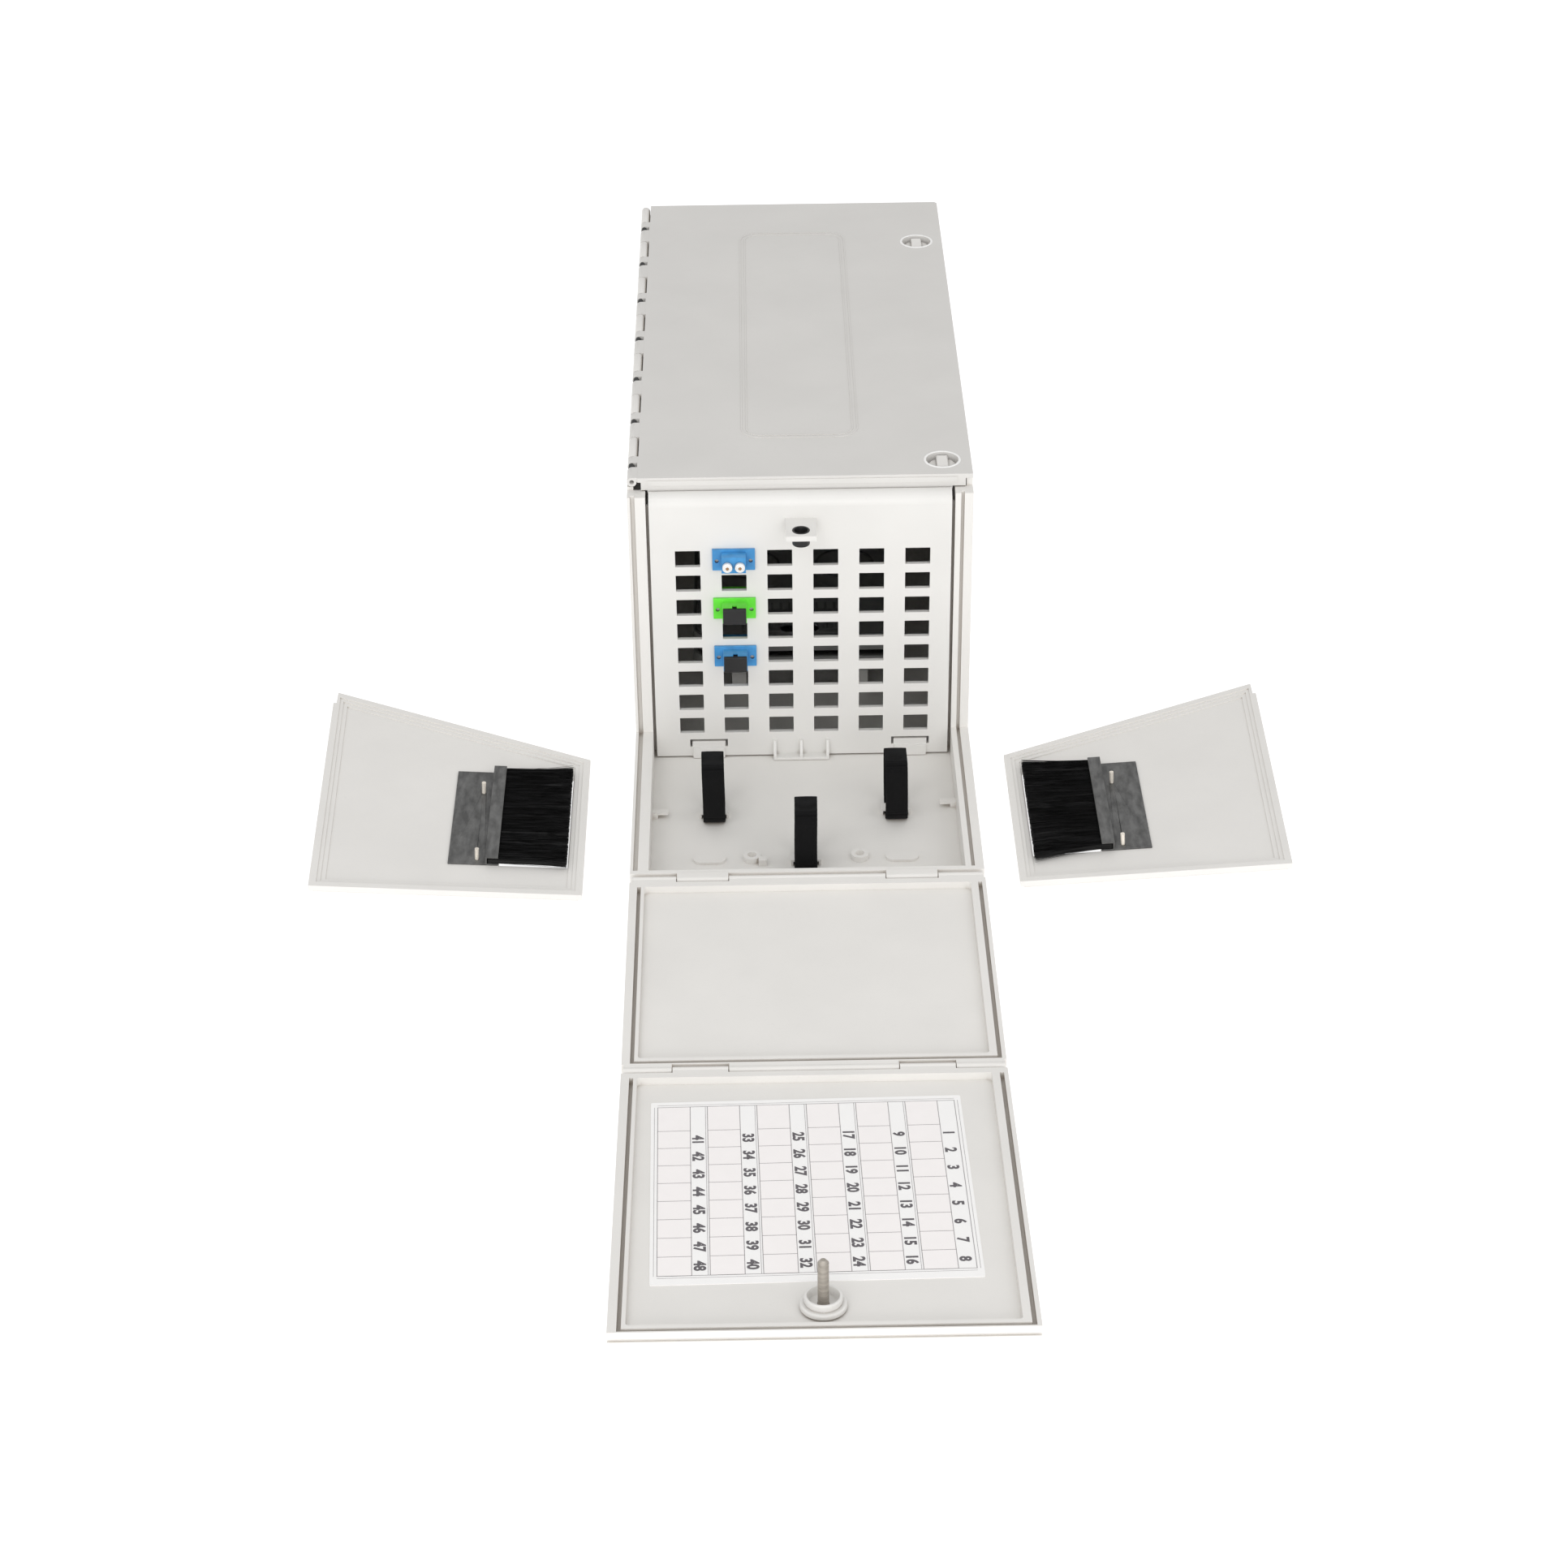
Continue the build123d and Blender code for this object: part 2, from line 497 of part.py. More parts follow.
with BuildPart() as cassette_lid:
    with BuildSketch(Plane.XY.offset(CASSETTE_Z + CASSETTE_STEP + CASSETTE_H)):
        with Locations((0, CASSETTE_AXIS_Y - 6 - CASSETTE_L / 2)):
            RectangleRounded(CASSETTE_W - 1, CASSETTE_L - 1, 12)
            with Locations((0, -48)):
                SlotOverall(22, 9, mode=Mode.SUBTRACT)
    extrude(amount=1.2)
save(cassette_lid, "cassette_lid")

with BuildPart() as cassette_bracket:
    block(-56, 56, CASSETTE_AXIS_Y + 4, CASSETTE_AXIS_Y + 16, FLOOR_T, FLOOR_T + 2)
    for s in (-1, 1):
        cheek = sorted((s * 44.4, s * 50))
        block(*cheek, CASSETTE_AXIS_Y, CASSETTE_AXIS_Y + 16, FLOOR_T, CASSETTE_Z + 5)
        rod_x(*cheek, CASSETTE_AXIS_Y, CASSETTE_Z + 2.5, 2.5)
        block(*cheek, CASSETTE_AXIS_Y - 2.5, CASSETTE_AXIS_Y, FLOOR_T, CASSETTE_Z + 2.5)
        # front posts under the lower cassette
        block(*sorted((s * 30, s * 38)), 66, 74, FLOOR_T, CASSETTE_Z - 0.3)
    block(-38, 38, 66, 74, FLOOR_T, FLOOR_T + 2)
    rod_x(-56, 56, CASSETTE_AXIS_Y, CASSETTE_Z + 2.5, PIN_R, Mode.SUBTRACT)
    block(-4, 4, 74, CASSETTE_AXIS_Y + 4, FLOOR_T, FLOOR_T + 2)
    with Locations(*[(x, y, FLOOR_T + 2) for x, y in BRACKET_SCREWS]):
        Hole(1.7)
save(cassette_bracket, "cassette_bracket")

with BuildPart() as bracket_screws:
    for x, y in BRACKET_SCREWS:
        with Locations((x, y, FLOOR_T + 1)):
            Cylinder(1.6, 2)
        with Locations((x, y, FLOOR_T + 2.9)):
            Cylinder(3.0, 1.8)
        block(x - 2.4, x + 2.4, y - 0.4, y + 0.4, FLOOR_T + 3.0, FLOOR_T + 4, Mode.SUBTRACT)
save(bracket_screws, "cassette_bracket_screws")

with BuildPart() as cassette_pin_lower:
    for s in (-1, 1):
        rod_x(*sorted((s * 36.5, s * 50)), CASSETTE_AXIS_Y, CASSETTE_Z + 2.5, PIN_R)
save(cassette_pin_lower, "cassette_pins_lower")

with BuildPart() as cassette_pin_upper:
    for s in (-1, 1):
        rod_x(*sorted((s * 28, s * 43.5)), CASSETTE_AXIS_Y, CASSETTE_Z + CASSETTE_STEP + 2.5, PIN_R)
save(cassette_pin_upper, "cassette_pins_upper")

# ---------------------------------------------------------------- splice cover and latches
LATCH_X = 74.8
LATCH_Y = {"front": 23.9, "rear": 306.8}
DISH_R = 8.4
DISH_D = 4.6
LATCH_SHAFT_R = 3.4
CAM_Z = 158.4
CAM_T = 2.0
CAM_REACH = 9.8
EMBOSS = (0.7, 186.8, 62.5, 270.5)   # centre x, centre y, width, length

with BuildPart() as splice_cover:
    with BuildSketch(Plane.XY.offset(HEIGHT - COVER_T)):
        span(COVER_AXIS_X + 3.0, HALF, LEDGE_L, SPLICE_L)
    extrude(amount=COVER_T)
    # knuckles, with a square gap at each pitch and a slot beside each tray knuckle
    rod_y(HINGE_START, HINGE_END, COVER_AXIS_X, COVER_AXIS_Z, COVER_KNUCKLE_R)
    block(COVER_AXIS_X, COVER_AXIS_X + 4, HINGE_START, HINGE_END,
          HEIGHT - COVER_T, COVER_AXIS_Z + COVER_KNUCKLE_R)
    for y in tray_knuckles:
        half = TRAY_KNUCKLE_L / 2 + CLEAR
        block(-HALF - 1, COVER_AXIS_X + 3.0, y - half, y + half, 160, HEIGHT + 1, Mode.SUBTRACT)
    for y in cover_gaps:
        block(-HALF - 1, COVER_AXIS_X + 2.6, y - GAP_L / 2, y + GAP_L / 2, 160, HEIGHT + 1, Mode.SUBTRACT)
    rod_y(0, SPLICE_L, COVER_AXIS_X, COVER_AXIS_Z, BORE_R, Mode.SUBTRACT)
    # front flange with a low tongue along it
    block(-79.4, 79.4, LEDGE_L, LEDGE_L + 2.4, LEDGE_Z - 1.6, HEIGHT - COVER_T)
    block(-82.8, 86.3, LEDGE_L, LEDGE_L + 2.4, LEDGE_Z + 0.3, HEIGHT - COVER_T)
    block(-79.4, 82.0, LEDGE_L - 0.5, LEDGE_L, 165.6, 168.5)
    # locating ribs inside the right and rear walls
    block(84.4, 86.3, LEDGE_L + 2.4, SPLICE_L - WALL_T - 0.5, 165, HEIGHT - COVER_T)
    block(-80, 86.3, SPLICE_L - WALL_T - 2.4, SPLICE_L - WALL_T - 0.5, 165, HEIGHT - COVER_T)
    # stiffening ribs under the plate
    for y in (90.0, 186.8, 270.0):
        block(-78, 62, y - 0.9, y + 0.9, 164.5, HEIGHT - COVER_T)
    # embossed double outline
    ex, ey, ew, el = EMBOSS
    with BuildSketch(Plane.XY.offset(HEIGHT)):
        with Locations((ex, ey)):
            for inset in (0.0, 5.2):
                w, l, r = ew - inset, el - inset, 11 - inset / 2
                RectangleRounded(w, l, r)
                RectangleRounded(w - 1.4, l - 1.4, r - 0.7, mode=Mode.SUBTRACT)
    extrude(amount=0.35)
    # latch dishes
    with BuildSketch(Plane.XY.offset(HEIGHT - DISH_D - 2)):
        with Locations(*[(LATCH_X, y) for y in LATCH_Y.values()]):
            Circle(DISH_R + 1.6)
    extrude(amount=DISH_D + 2 - COVER_T)
    with BuildSketch(Plane.XY.offset(HEIGHT - DISH_D)):
        with Locations(*[(LATCH_X, y) for y in LATCH_Y.values()]):
            Circle(DISH_R)
    extrude(amount=DISH_D + 1, mode=Mode.SUBTRACT)
    with Locations(*[(LATCH_X, y, HEIGHT - DISH_D) for y in LATCH_Y.values()]):
        Cylinder(LATCH_SHAFT_R + 0.07, 12, mode=Mode.SUBTRACT)
    fillet(splice_cover.edges().filter_by(Axis.Z).filter_by_position(Axis.Y, SPLICE_L - 0.01, SPLICE_L + 0.01)
           .filter_by_position(Axis.X, HALF - 0.01, HALF + 0.01), 2.5)
save(splice_cover, "splice_cover")

for end, y in LATCH_Y.items():
    with BuildPart() as knob:
        with BuildSketch(Plane.XY.offset(HEIGHT - DISH_D + 0.2)):
            with Locations((LATCH_X, y)):
                Circle(DISH_R - 1.6)
        extrude(amount=1.4)
        block(LATCH_X - 3.0, LATCH_X + 3.0, y - 6.2, y + 6.2, HEIGHT - DISH_D + 1.6, HEIGHT - 0.6)
        with BuildSketch(Plane.XY.offset(CAM_Z + CAM_T)):
            with Locations((LATCH_X, y)):
                Circle(LATCH_SHAFT_R)
        extrude(amount=HEIGHT - DISH_D + 0.2 - CAM_Z - CAM_T)
        with Locations((LATCH_X, y, CAM_Z + CAM_T + 2.5)):
            Cylinder(1.1, 5, mode=Mode.SUBTRACT)
        fillet(knob.edges().group_by(Axis.Z)[-1], 0.8)
    save(knob, f"latch_knob_{end}")

    # the cam points along the wall while the latch is open
    with BuildPart() as cam:
        with BuildSketch(Plane.XY.offset(CAM_Z)):
            with Locations((LATCH_X, y)):
                Circle(4.4)
                with Locations((0, CAM_REACH / 2)):
                    Rectangle(6.4, CAM_REACH)
                Circle(1.15, mode=Mode.SUBTRACT)
        extrude(amount=CAM_T)
        fillet(cam.edges().filter_by(Axis.Z).group_by(Axis.Y)[-1], 1.5)
    save(cam, f"latch_cam_{end}")

    with BuildPart() as latch_screw:
        with Locations((LATCH_X, y, CAM_Z - 0.9)):
            Cylinder(2.6, 1.8)
        with Locations((LATCH_X, y, CAM_Z + 3)):
            Cylinder(1.1, 6)
        block(LATCH_X - 2, LATCH_X + 2, y - 0.4, y + 0.4, CAM_Z - 2, CAM_Z - 1.2, Mode.SUBTRACT)
    save(latch_screw, f"latch_screw_{end}")

    # keeper ledge on the right wall that the turned cam goes under
    with BuildPart() as keeper:
        block(HALF - WALL_T - 1.2, HALF - WALL_T, y - 9, y + 9, CAM_Z - 8, CAM_Z + CAM_T + 2)
        block(80.6, HALF - WALL_T - 1.2, y - 7, y + 7, CAM_Z + CAM_T + 0.6, CAM_Z + CAM_T + 2)
        fillet(keeper.edges().filter_by(Axis.Z).group_by(Axis.X)[0], 1.5)
    save(keeper, f"latch_keeper_{end}")


# ---------------------------------------------------------------- doors
def local_block(plane, x0, x1, y0, y1, z0, z1, mode=Mode.ADD):
    """A box given by its corners in a piece's own plane."""
    with Locations(plane):
        with Locations(((x0 + x1) / 2, (y0 + y1) / 2, (z0 + z1) / 2)):
            Box(x1 - x0, y1 - y0, z1 - z0, mode=mode)


def local_rod_x(plane, x0, x1, y, z, r, mode=Mode.ADD):
    """A cylinder along X in a piece's own plane."""
    with Locations(plane):
        with Locations(((x0 + x1) / 2, y, z)):
            Cylinder(r, x1 - x0, rotation=(0, 90, 0), mode=mode)


def door_tray(plane, near_y, near_groove, near_rim):
    """Shallow tray of a door with a groove all round; the near ones give the groove and rim at near_y."""
    low = AXIS_DROP - DOOR_T
    inner_w = WIDTH - 2 * DOOR_RIM_W
    inner_y = (near_y + near_rim, -HINGE_GAP - 4.0)
    with BuildPart() as tray:
        with BuildSketch(plane.offset(low)):
            span(-HALF, HALF, near_y, -HINGE_GAP)
        extrude(amount=DOOR_T)
        with BuildSketch(plane.offset(low + DOOR_PLATE)):
            with Locations((0, sum(inner_y) / 2)):
                RectangleRounded(inner_w, inner_y[1] - inner_y[0], 1.6)
        extrude(amount=DOOR_T, mode=Mode.SUBTRACT)
        with BuildSketch(plane.offset(AXIS_DROP - 3.4)):
            for s in (-1, 1):
                span(*sorted(s * (HALF - edge) for edge in DOOR_GROOVE[s]), near_y + near_groove, inner_y[1])
            span(-HALF + DOOR_GROOVE[-1][0], HALF - DOOR_GROOVE[1][0],
                 near_y + near_groove, near_y + near_groove + 2.0)
        extrude(amount=4, mode=Mode.SUBTRACT)
    return tray.part


DOOR_OUT = AXIS_DROP - DOOR_T
DOOR_FLOOR = DOOR_OUT + DOOR_PLATE
TAB_IN = TAB_X - TAB_W / 2
TAB_OUT = TAB_X + TAB_W / 2
tab_knuckles = ((-TAB_OUT, -TAB_IN), (TAB_IN, TAB_OUT))
outer_knuckles = ((-HALF + 1, -TAB_OUT - CLEAR), (-TAB_IN + CLEAR, TAB_IN - CLEAR),
                  (TAB_OUT + CLEAR, HALF - 1))

with BuildPart() as end_door:
    far_y = -(END_DOOR_L - HINGE_GAP)
    add(door_tray(end_plane, far_y, 0.9, 5.0))
    # knuckles at both ends, outside the tabs of the tray and of the front door
    for x0, x1 in outer_knuckles:
        for y, inward in ((0.0, -HINGE_GAP - 0.5), (-END_DOOR_L, far_y + 0.5)):
            local_rod_x(end_plane, x0, x1, y, 0, KNUCKLE_R)
            local_block(end_plane, x0, x1, min(y, inward), max(y, inward), -KNUCKLE_R, AXIS_DROP)
    local_rod_x(end_plane, -HALF, HALF, 0, 0, BORE_R, Mode.SUBTRACT)
    local_rod_x(end_plane, -HALF, HALF, -END_DOOR_L, 0, PIN_R, Mode.SUBTRACT)
    # slot in the floor along the rim at the front door's hinge
    local_block(end_plane, -TAB_OUT, TAB_OUT, far_y + 5.0, far_y + 5.9, DOOR_FLOOR - 1.4, DOOR_FLOOR + 1,
                Mode.SUBTRACT)
save(end_door, "end_door")

with BuildPart() as front_door_hinge_pin:
    rod_x(-HALF + 2, HALF - 2, AXIS2_Y, AXIS_Z, PIN_R)
save(front_door_hinge_pin, "front_door_hinge_pin")

LOCK_Y = -179.7          # lock screw, from the front door's hinge axis
LOCK_R = 2.4

with BuildPart() as front_door:
    add(door_tray(front_plane, -FRONT_DOOR_L, 0.8, 5.0))
    for x0, x1 in tab_knuckles:
        local_rod_x(front_plane, x0, x1, 0, 0, KNUCKLE_R)
        local_block(front_plane, x0, x1, -HINGE_GAP - 0.5, 0, -KNUCKLE_R, AXIS_DROP)
    local_rod_x(front_plane, -HALF, HALF, 0, 0, BORE_R, Mode.SUBTRACT)
    # undercut along the free edge, and the hole for the lock screw
    local_block(front_plane, -HALF - 1, HALF + 1, -FRONT_DOOR_L - 1, -FRONT_DOOR_L + 1, DOOR_OUT + 1.0,
                DOOR_OUT + 2.6, Mode.SUBTRACT)
    with BuildSketch(front_plane.offset(DOOR_OUT - 1)):
        with Locations((0, LOCK_Y)):
            Circle(LOCK_R + 0.06)
    extrude(amount=DOOR_PLATE + 2, mode=Mode.SUBTRACT)
save(front_door, "front_door")

LABEL_W = 142.5
LABEL_L = 139.5
LABEL_X = -3.2
LABEL_Y = -91.6
LABEL_TURN = 1.0         # the sheet is stuck on slightly askew
with BuildPart() as label_sheet:
    with BuildSketch(front_plane.offset(DOOR_FLOOR)):
        with Locations((LABEL_X, LABEL_Y)):
            RectangleRounded(LABEL_W, LABEL_L, 1, rotation=LABEL_TURN)
    extrude(amount=0.3)
save(label_sheet, "label_sheet")

# stepped collar, drawn as half a section and turned about the lock's axis
lock_section = Plane(origin=front_plane.from_local_coords((0, LOCK_Y, DOOR_FLOOR)), x_dir=(1, 0, 0),
                     z_dir=-front_plane.y_dir)
lock_axis = Axis(front_plane.from_local_coords((0, LOCK_Y, 0)), front_plane.z_dir)
with BuildPart() as lock_collar:
    with BuildSketch(lock_section):
        with BuildLine():
            Polyline((LOCK_R + 0.06, 0), (8.6, 0), (8.6, 0.9), (10.0, 0.9), (10.0, 2.6), (9.4, 3.2),
                     (7.5, 3.2), (7.5, 4.0), (8.2, 4.0), (8.2, 6.4), (7.8, 6.8), (6.9, 6.8), (6.3, 2.4),
                     (LOCK_R + 0.06, 2.4), close=True)
        make_face()
    revolve(axis=lock_axis)
save(lock_collar, "lock_collar")

LOCK_TIP = 24.7          # tip of the screw above the door's floor
with BuildPart() as lock_screw:
    with BuildSketch(lock_section):
        with BuildLine():
            head = -DOOR_PLATE
            Polyline((0, head - 2.0), (5.2, head - 2.0), (6.0, head - 1.2), (6.0, head - 0.2),
                     (LOCK_R, head - 0.2), (LOCK_R, LOCK_TIP - 1.4), (LOCK_R - 1.2, LOCK_TIP), (0, LOCK_TIP),
                     close=True)
        make_face()
    revolve(axis=lock_axis)
    local_block(front_plane, -5.0, 5.0, LOCK_Y - 0.6, LOCK_Y + 0.6, DOOR_OUT - 3, DOOR_OUT - 1.2,
                Mode.SUBTRACT)
save(lock_screw, "lock_screw")

# ---------------------------------------------------------------- side panels
SIDE_PERP = 143.3        # height when fitted, from the bay's rim to the front door
SIDE_FOOT = 139.3        # the same, at the end beside the patch panel
SIDE_SHORT = 121.0
SIDE_TALL = 178.0
SIDE_RING_W = 8.0
SIDE_TILT = 3.6          # degrees: each panel lies on its grip
SIDE_PITCH = {-1: 2.3, 1: 0.0}     # degrees that the far end is propped up
SIDE_CORNER = {-1: (-115.2, -133.3, 0), 1: (109.6, -127.4, 0)}
SIDE_SKIN = 3.0
SIDE_T = 5.2
BRUSH_V = (25.5, 108.0)
BRUSH_U = (8.5, 44.0)
BAR_U = (44.3, 51.0)
PLATE_U = (51.0, 70.3)
BRACKET_T = 0.9
SCREW_AT = ((55.5, 29.8), (55.5, 89.0))
STUD_R = 1.1


def side_plane(s):
    """Plane of a detached side panel: local x runs away from the box, and y is mirrored on the left."""
    lean, pitch = radians(SIDE_TILT), radians(SIDE_PITCH[s])
    u_dir = Vector(s * cos(lean), 0, sin(lean))
    v_dir = Vector(0, cos(pitch), sin(pitch))
    return Plane(origin=SIDE_CORNER[s], x_dir=u_dir, z_dir=u_dir.cross(v_dir) * s)


def outline(s, inset):
    """Corners of a side panel's outline, moved in by inset."""
    slope = (SIDE_TALL - SIDE_SHORT) / SIDE_PERP
    lift = inset * sqrt(1 + slope ** 2)
    points = [(inset, inset), (SIDE_FOOT - inset, inset),
              (SIDE_PERP - inset, SIDE_SHORT + slope * (SIDE_PERP - inset) - lift),
              (inset, SIDE_SHORT + slope * inset - lift)]
    return [(u, s * v) for u, v in points]


def side_block(s, u, v, z0, z1, mode=Mode.ADD):
    """A box in a side panel's own plane, from (u0, u1) and (v0, v1)."""
    local_block(side_plane(s), *u, *sorted((s * v[0], s * v[1])), z0, z1, mode)


def side_panel(s, name):
    """Side panel with a stepped border, a window for the brush and a grip on the outer face."""
    layers = ((0.0, 2.0, SIDE_SKIN, Mode.ADD), (2.0, 0.0, SIDE_T - 2.0, Mode.ADD),
              (SIDE_SKIN + 0.7, 5.6, SIDE_T, Mode.SUBTRACT), (SIDE_SKIN, SIDE_RING_W, SIDE_T, Mode.SUBTRACT),
              (SIDE_T - 0.8, 3.6, 1.0, Mode.SUBTRACT))
    places = [(u, s * v) for u, v in SCREW_AT]
    with BuildPart() as panel:
        for z, inset, height, mode in layers:
            with BuildSketch(side_plane(s).offset(z)):
                with BuildLine():
                    Polyline(*outline(s, inset), close=True)
                make_face()
            extrude(amount=height, mode=mode)
        side_block(s, BRUSH_U, BRUSH_V, -1, SIDE_T + 1, Mode.SUBTRACT)
        # notch at the corner beside the front door's free edge
        side_block(s, (141.3, 144), (167, SIDE_TALL + 1), -1, SIDE_T + 1, Mode.SUBTRACT)
        # grip on the outer face, by which the panel is pulled out of its grooves
        low = (SIDE_FOOT - 8) * sin(radians(SIDE_TILT)) / cos(radians(SIDE_TILT))
        side_block(s, (SIDE_FOOT - 12, SIDE_FOOT - 8), (70, 110), -low, 0.5)
        # holes and recesses of the bracket's screws
        with BuildSketch(side_plane(s).offset(-1)):
            with Locations(*places):
                Circle(STUD_R + 0.1)
        extrude(amount=SIDE_SKIN + 2, mode=Mode.SUBTRACT)
        with BuildSketch(side_plane(s).offset(-1)):
            with Locations(*places):
                Circle(2.7)
        extrude(amount=2.3, mode=Mode.SUBTRACT)
    save(panel, name)


def brush_bracket(s, name):
    """Bent bracket: a flat plate on the panel and a channel, open to the bristles, that grips them."""
    top = SIDE_SKIN + 5.4
    with BuildPart() as bracket:
        side_block(s, (BAR_U[0], PLATE_U[1]), BRUSH_V, SIDE_SKIN, SIDE_SKIN + BRACKET_T)
        side_block(s, (BAR_U[1] - BRACKET_T, BAR_U[1]), BRUSH_V, SIDE_SKIN, top)
        side_block(s, BAR_U, BRUSH_V, top - BRACKET_T, top)
        with BuildSketch(side_plane(s).offset(SIDE_SKIN - 1)):
            with Locations(*[(u, s * v) for u, v in SCREW_AT]):
                Circle(STUD_R + 0.1)
        extrude(amount=3, mode=Mode.SUBTRACT)
    save(bracket, name)


def brush(s, name):
    """Block of bristles, gripped in the channel and reaching across the window."""
    with BuildPart() as bristles:
        side_block(s, (BRUSH_U[0] + 0.3, BAR_U[1] - BRACKET_T - 0.2), (BRUSH_V[0] + 0.4, BRUSH_V[1] - 0.4),
                   SIDE_SKIN + 1.0, SIDE_SKIN + 4.4)
    save(bristles, name)


def side_screws(s, name):
    """Two studs of the brush bracket, with heads sunk in the panel's outer face."""
    places = [(u, s * v) for u, v in SCREW_AT]
    with BuildPart() as screws:
        with BuildSketch(side_plane(s).offset(0.1)):
            with Locations(*places):
                Circle(2.6)
        extrude(amount=1.2)
        with BuildSketch(side_plane(s).offset(1.3)):
            with Locations(*places):
                Circle(STUD_R)
        extrude(amount=SIDE_SKIN - 1.3 + BRACKET_T + 6.5)
    save(screws, name)


for side, s in (("left", -1), ("right", 1)):
    side_panel(s, f"side_panel_{side}")
    brush_bracket(s, f"brush_bracket_{side}")
    brush(s, f"entry_brush_{side}")
    side_screws(s, f"bracket_screws_{side}")
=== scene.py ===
import json
import math
import random

import bpy
from mathutils import Matrix, Vector, noise


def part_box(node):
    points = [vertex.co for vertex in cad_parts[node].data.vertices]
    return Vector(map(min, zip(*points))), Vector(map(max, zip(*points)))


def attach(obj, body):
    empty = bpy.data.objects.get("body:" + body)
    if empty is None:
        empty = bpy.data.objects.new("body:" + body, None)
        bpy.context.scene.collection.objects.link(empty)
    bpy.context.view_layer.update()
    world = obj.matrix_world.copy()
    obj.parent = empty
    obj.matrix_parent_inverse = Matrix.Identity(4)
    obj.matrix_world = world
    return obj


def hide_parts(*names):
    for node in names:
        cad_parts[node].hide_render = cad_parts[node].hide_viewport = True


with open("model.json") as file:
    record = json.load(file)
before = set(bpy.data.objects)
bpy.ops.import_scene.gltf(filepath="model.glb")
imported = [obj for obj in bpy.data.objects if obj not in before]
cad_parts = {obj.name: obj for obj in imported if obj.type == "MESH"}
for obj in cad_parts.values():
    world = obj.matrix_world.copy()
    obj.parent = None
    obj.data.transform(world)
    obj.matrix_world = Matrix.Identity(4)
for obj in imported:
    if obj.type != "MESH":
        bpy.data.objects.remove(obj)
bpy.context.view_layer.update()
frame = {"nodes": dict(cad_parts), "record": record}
nodes = frame["nodes"]
MM = 0.001
TAU = 2 * math.pi

# ---------------------------------------------------------------- camera, floor and light
CAMERA_AT = (-0.0225, -1.5064, 0.9584)
CAMERA_ANGLES = (32.88, 0.47, -0.64)     # pitch down, yaw to the right, roll
CAMERA_LENS = 75.15                      # for a sensor 36 mm wide
WORLD_STRENGTH = 0.74
FLOOR_GLOW = 0.84
FLOOR_GREY = 0.38
FLOOR_HALF = 12.0
FLOOR_DROP = 0.0005                      # keeps the floor clear of the box's back
LAMPS = {
    # name: place, target, size and power
    "key": ((-0.9, -1.5, 2.1), (0, 0, 0), (1.2, 0.9), 8),
    "fill": ((1.2, -1.4, 1.5), (0, 0, 0), (1.4, 1.2), 4),
    "front": ((0.0, -2.4, 0.7), (0, 0, 0.08), (1.8, 0.9), 15),
}


def add_camera():
    """The viewpoint: in front of the open doors, looking down on the box."""
    data = bpy.data.cameras.new("camera")
    data.sensor_width = 36.0
    data.lens = CAMERA_LENS
    data.clip_start, data.clip_end = 0.05, 30.0
    cam = bpy.data.objects.new("camera", data)
    pitch, yaw, roll = (math.radians(angle) for angle in CAMERA_ANGLES)
    level = math.cos(pitch)
    forward = Vector((math.sin(yaw) * level, math.cos(yaw) * level, -math.sin(pitch)))
    right = Vector((math.cos(yaw), -math.sin(yaw), 0.0))
    up = right.cross(forward)
    x = math.cos(roll) * right + math.sin(roll) * up
    y = -math.sin(roll) * right + math.cos(roll) * up
    turn = Matrix((x, y, -forward)).transposed()
    cam.matrix_world = Matrix.Translation(CAMERA_AT) @ turn.to_4x4()
    bpy.context.scene.collection.objects.link(cam)
    bpy.context.scene.camera = cam


def add_area(name, at, target, size, power):
    """A rectangular soft light that faces its target."""
    data = bpy.data.lights.new(name, "AREA")
    data.shape = "RECTANGLE"
    data.size, data.size_y = size
    data.energy = power
    lamp = bpy.data.objects.new(name, data)
    lamp.location = at
    lamp.rotation_mode = "QUATERNION"
    lamp.rotation_quaternion = (Vector(target) - Vector(at)).to_track_quat("-Z", "Y")
    bpy.context.scene.collection.objects.link(lamp)


def add_stage():
    """White floor, soft studio light from the front and above, and an even surround."""
    world = bpy.data.worlds.new("surround")
    bpy.context.scene.world = world
    world.use_nodes = True
    world.node_tree.nodes["Background"].inputs["Color"].default_value = (1, 1, 1, 1)
    world.node_tree.nodes["Background"].inputs["Strength"].default_value = WORLD_STRENGTH
    bpy.context.scene.view_settings.view_transform = "Standard"
    mesh = bpy.data.meshes.new("floor")
    corners = [(x * FLOOR_HALF, y * FLOOR_HALF, 0) for x, y in ((-1, -1), (1, -1), (1, 1), (-1, 1))]
    mesh.from_pydata(corners, [], [(0, 1, 2, 3)])
    floor = bpy.data.objects.new("floor", mesh)
    floor.location.z = -FLOOR_DROP
    bpy.context.scene.collection.objects.link(floor)
    mat = bpy.data.materials.new("floor")
    mat.use_nodes = True
    shader = mat.node_tree.nodes["Principled BSDF"]
    shader.inputs["Base Color"].default_value = (FLOOR_GREY, FLOOR_GREY, FLOOR_GREY, 1)
    shader.inputs["Roughness"].default_value = 0.9
    shader.inputs["Emission Color"].default_value = (1, 1, 1, 1)
    shader.inputs["Emission Strength"].default_value = FLOOR_GLOW
    mesh.materials.append(mat)
    for name, settings in LAMPS.items():
        add_area(name, *settings)


add_camera()
add_stage()


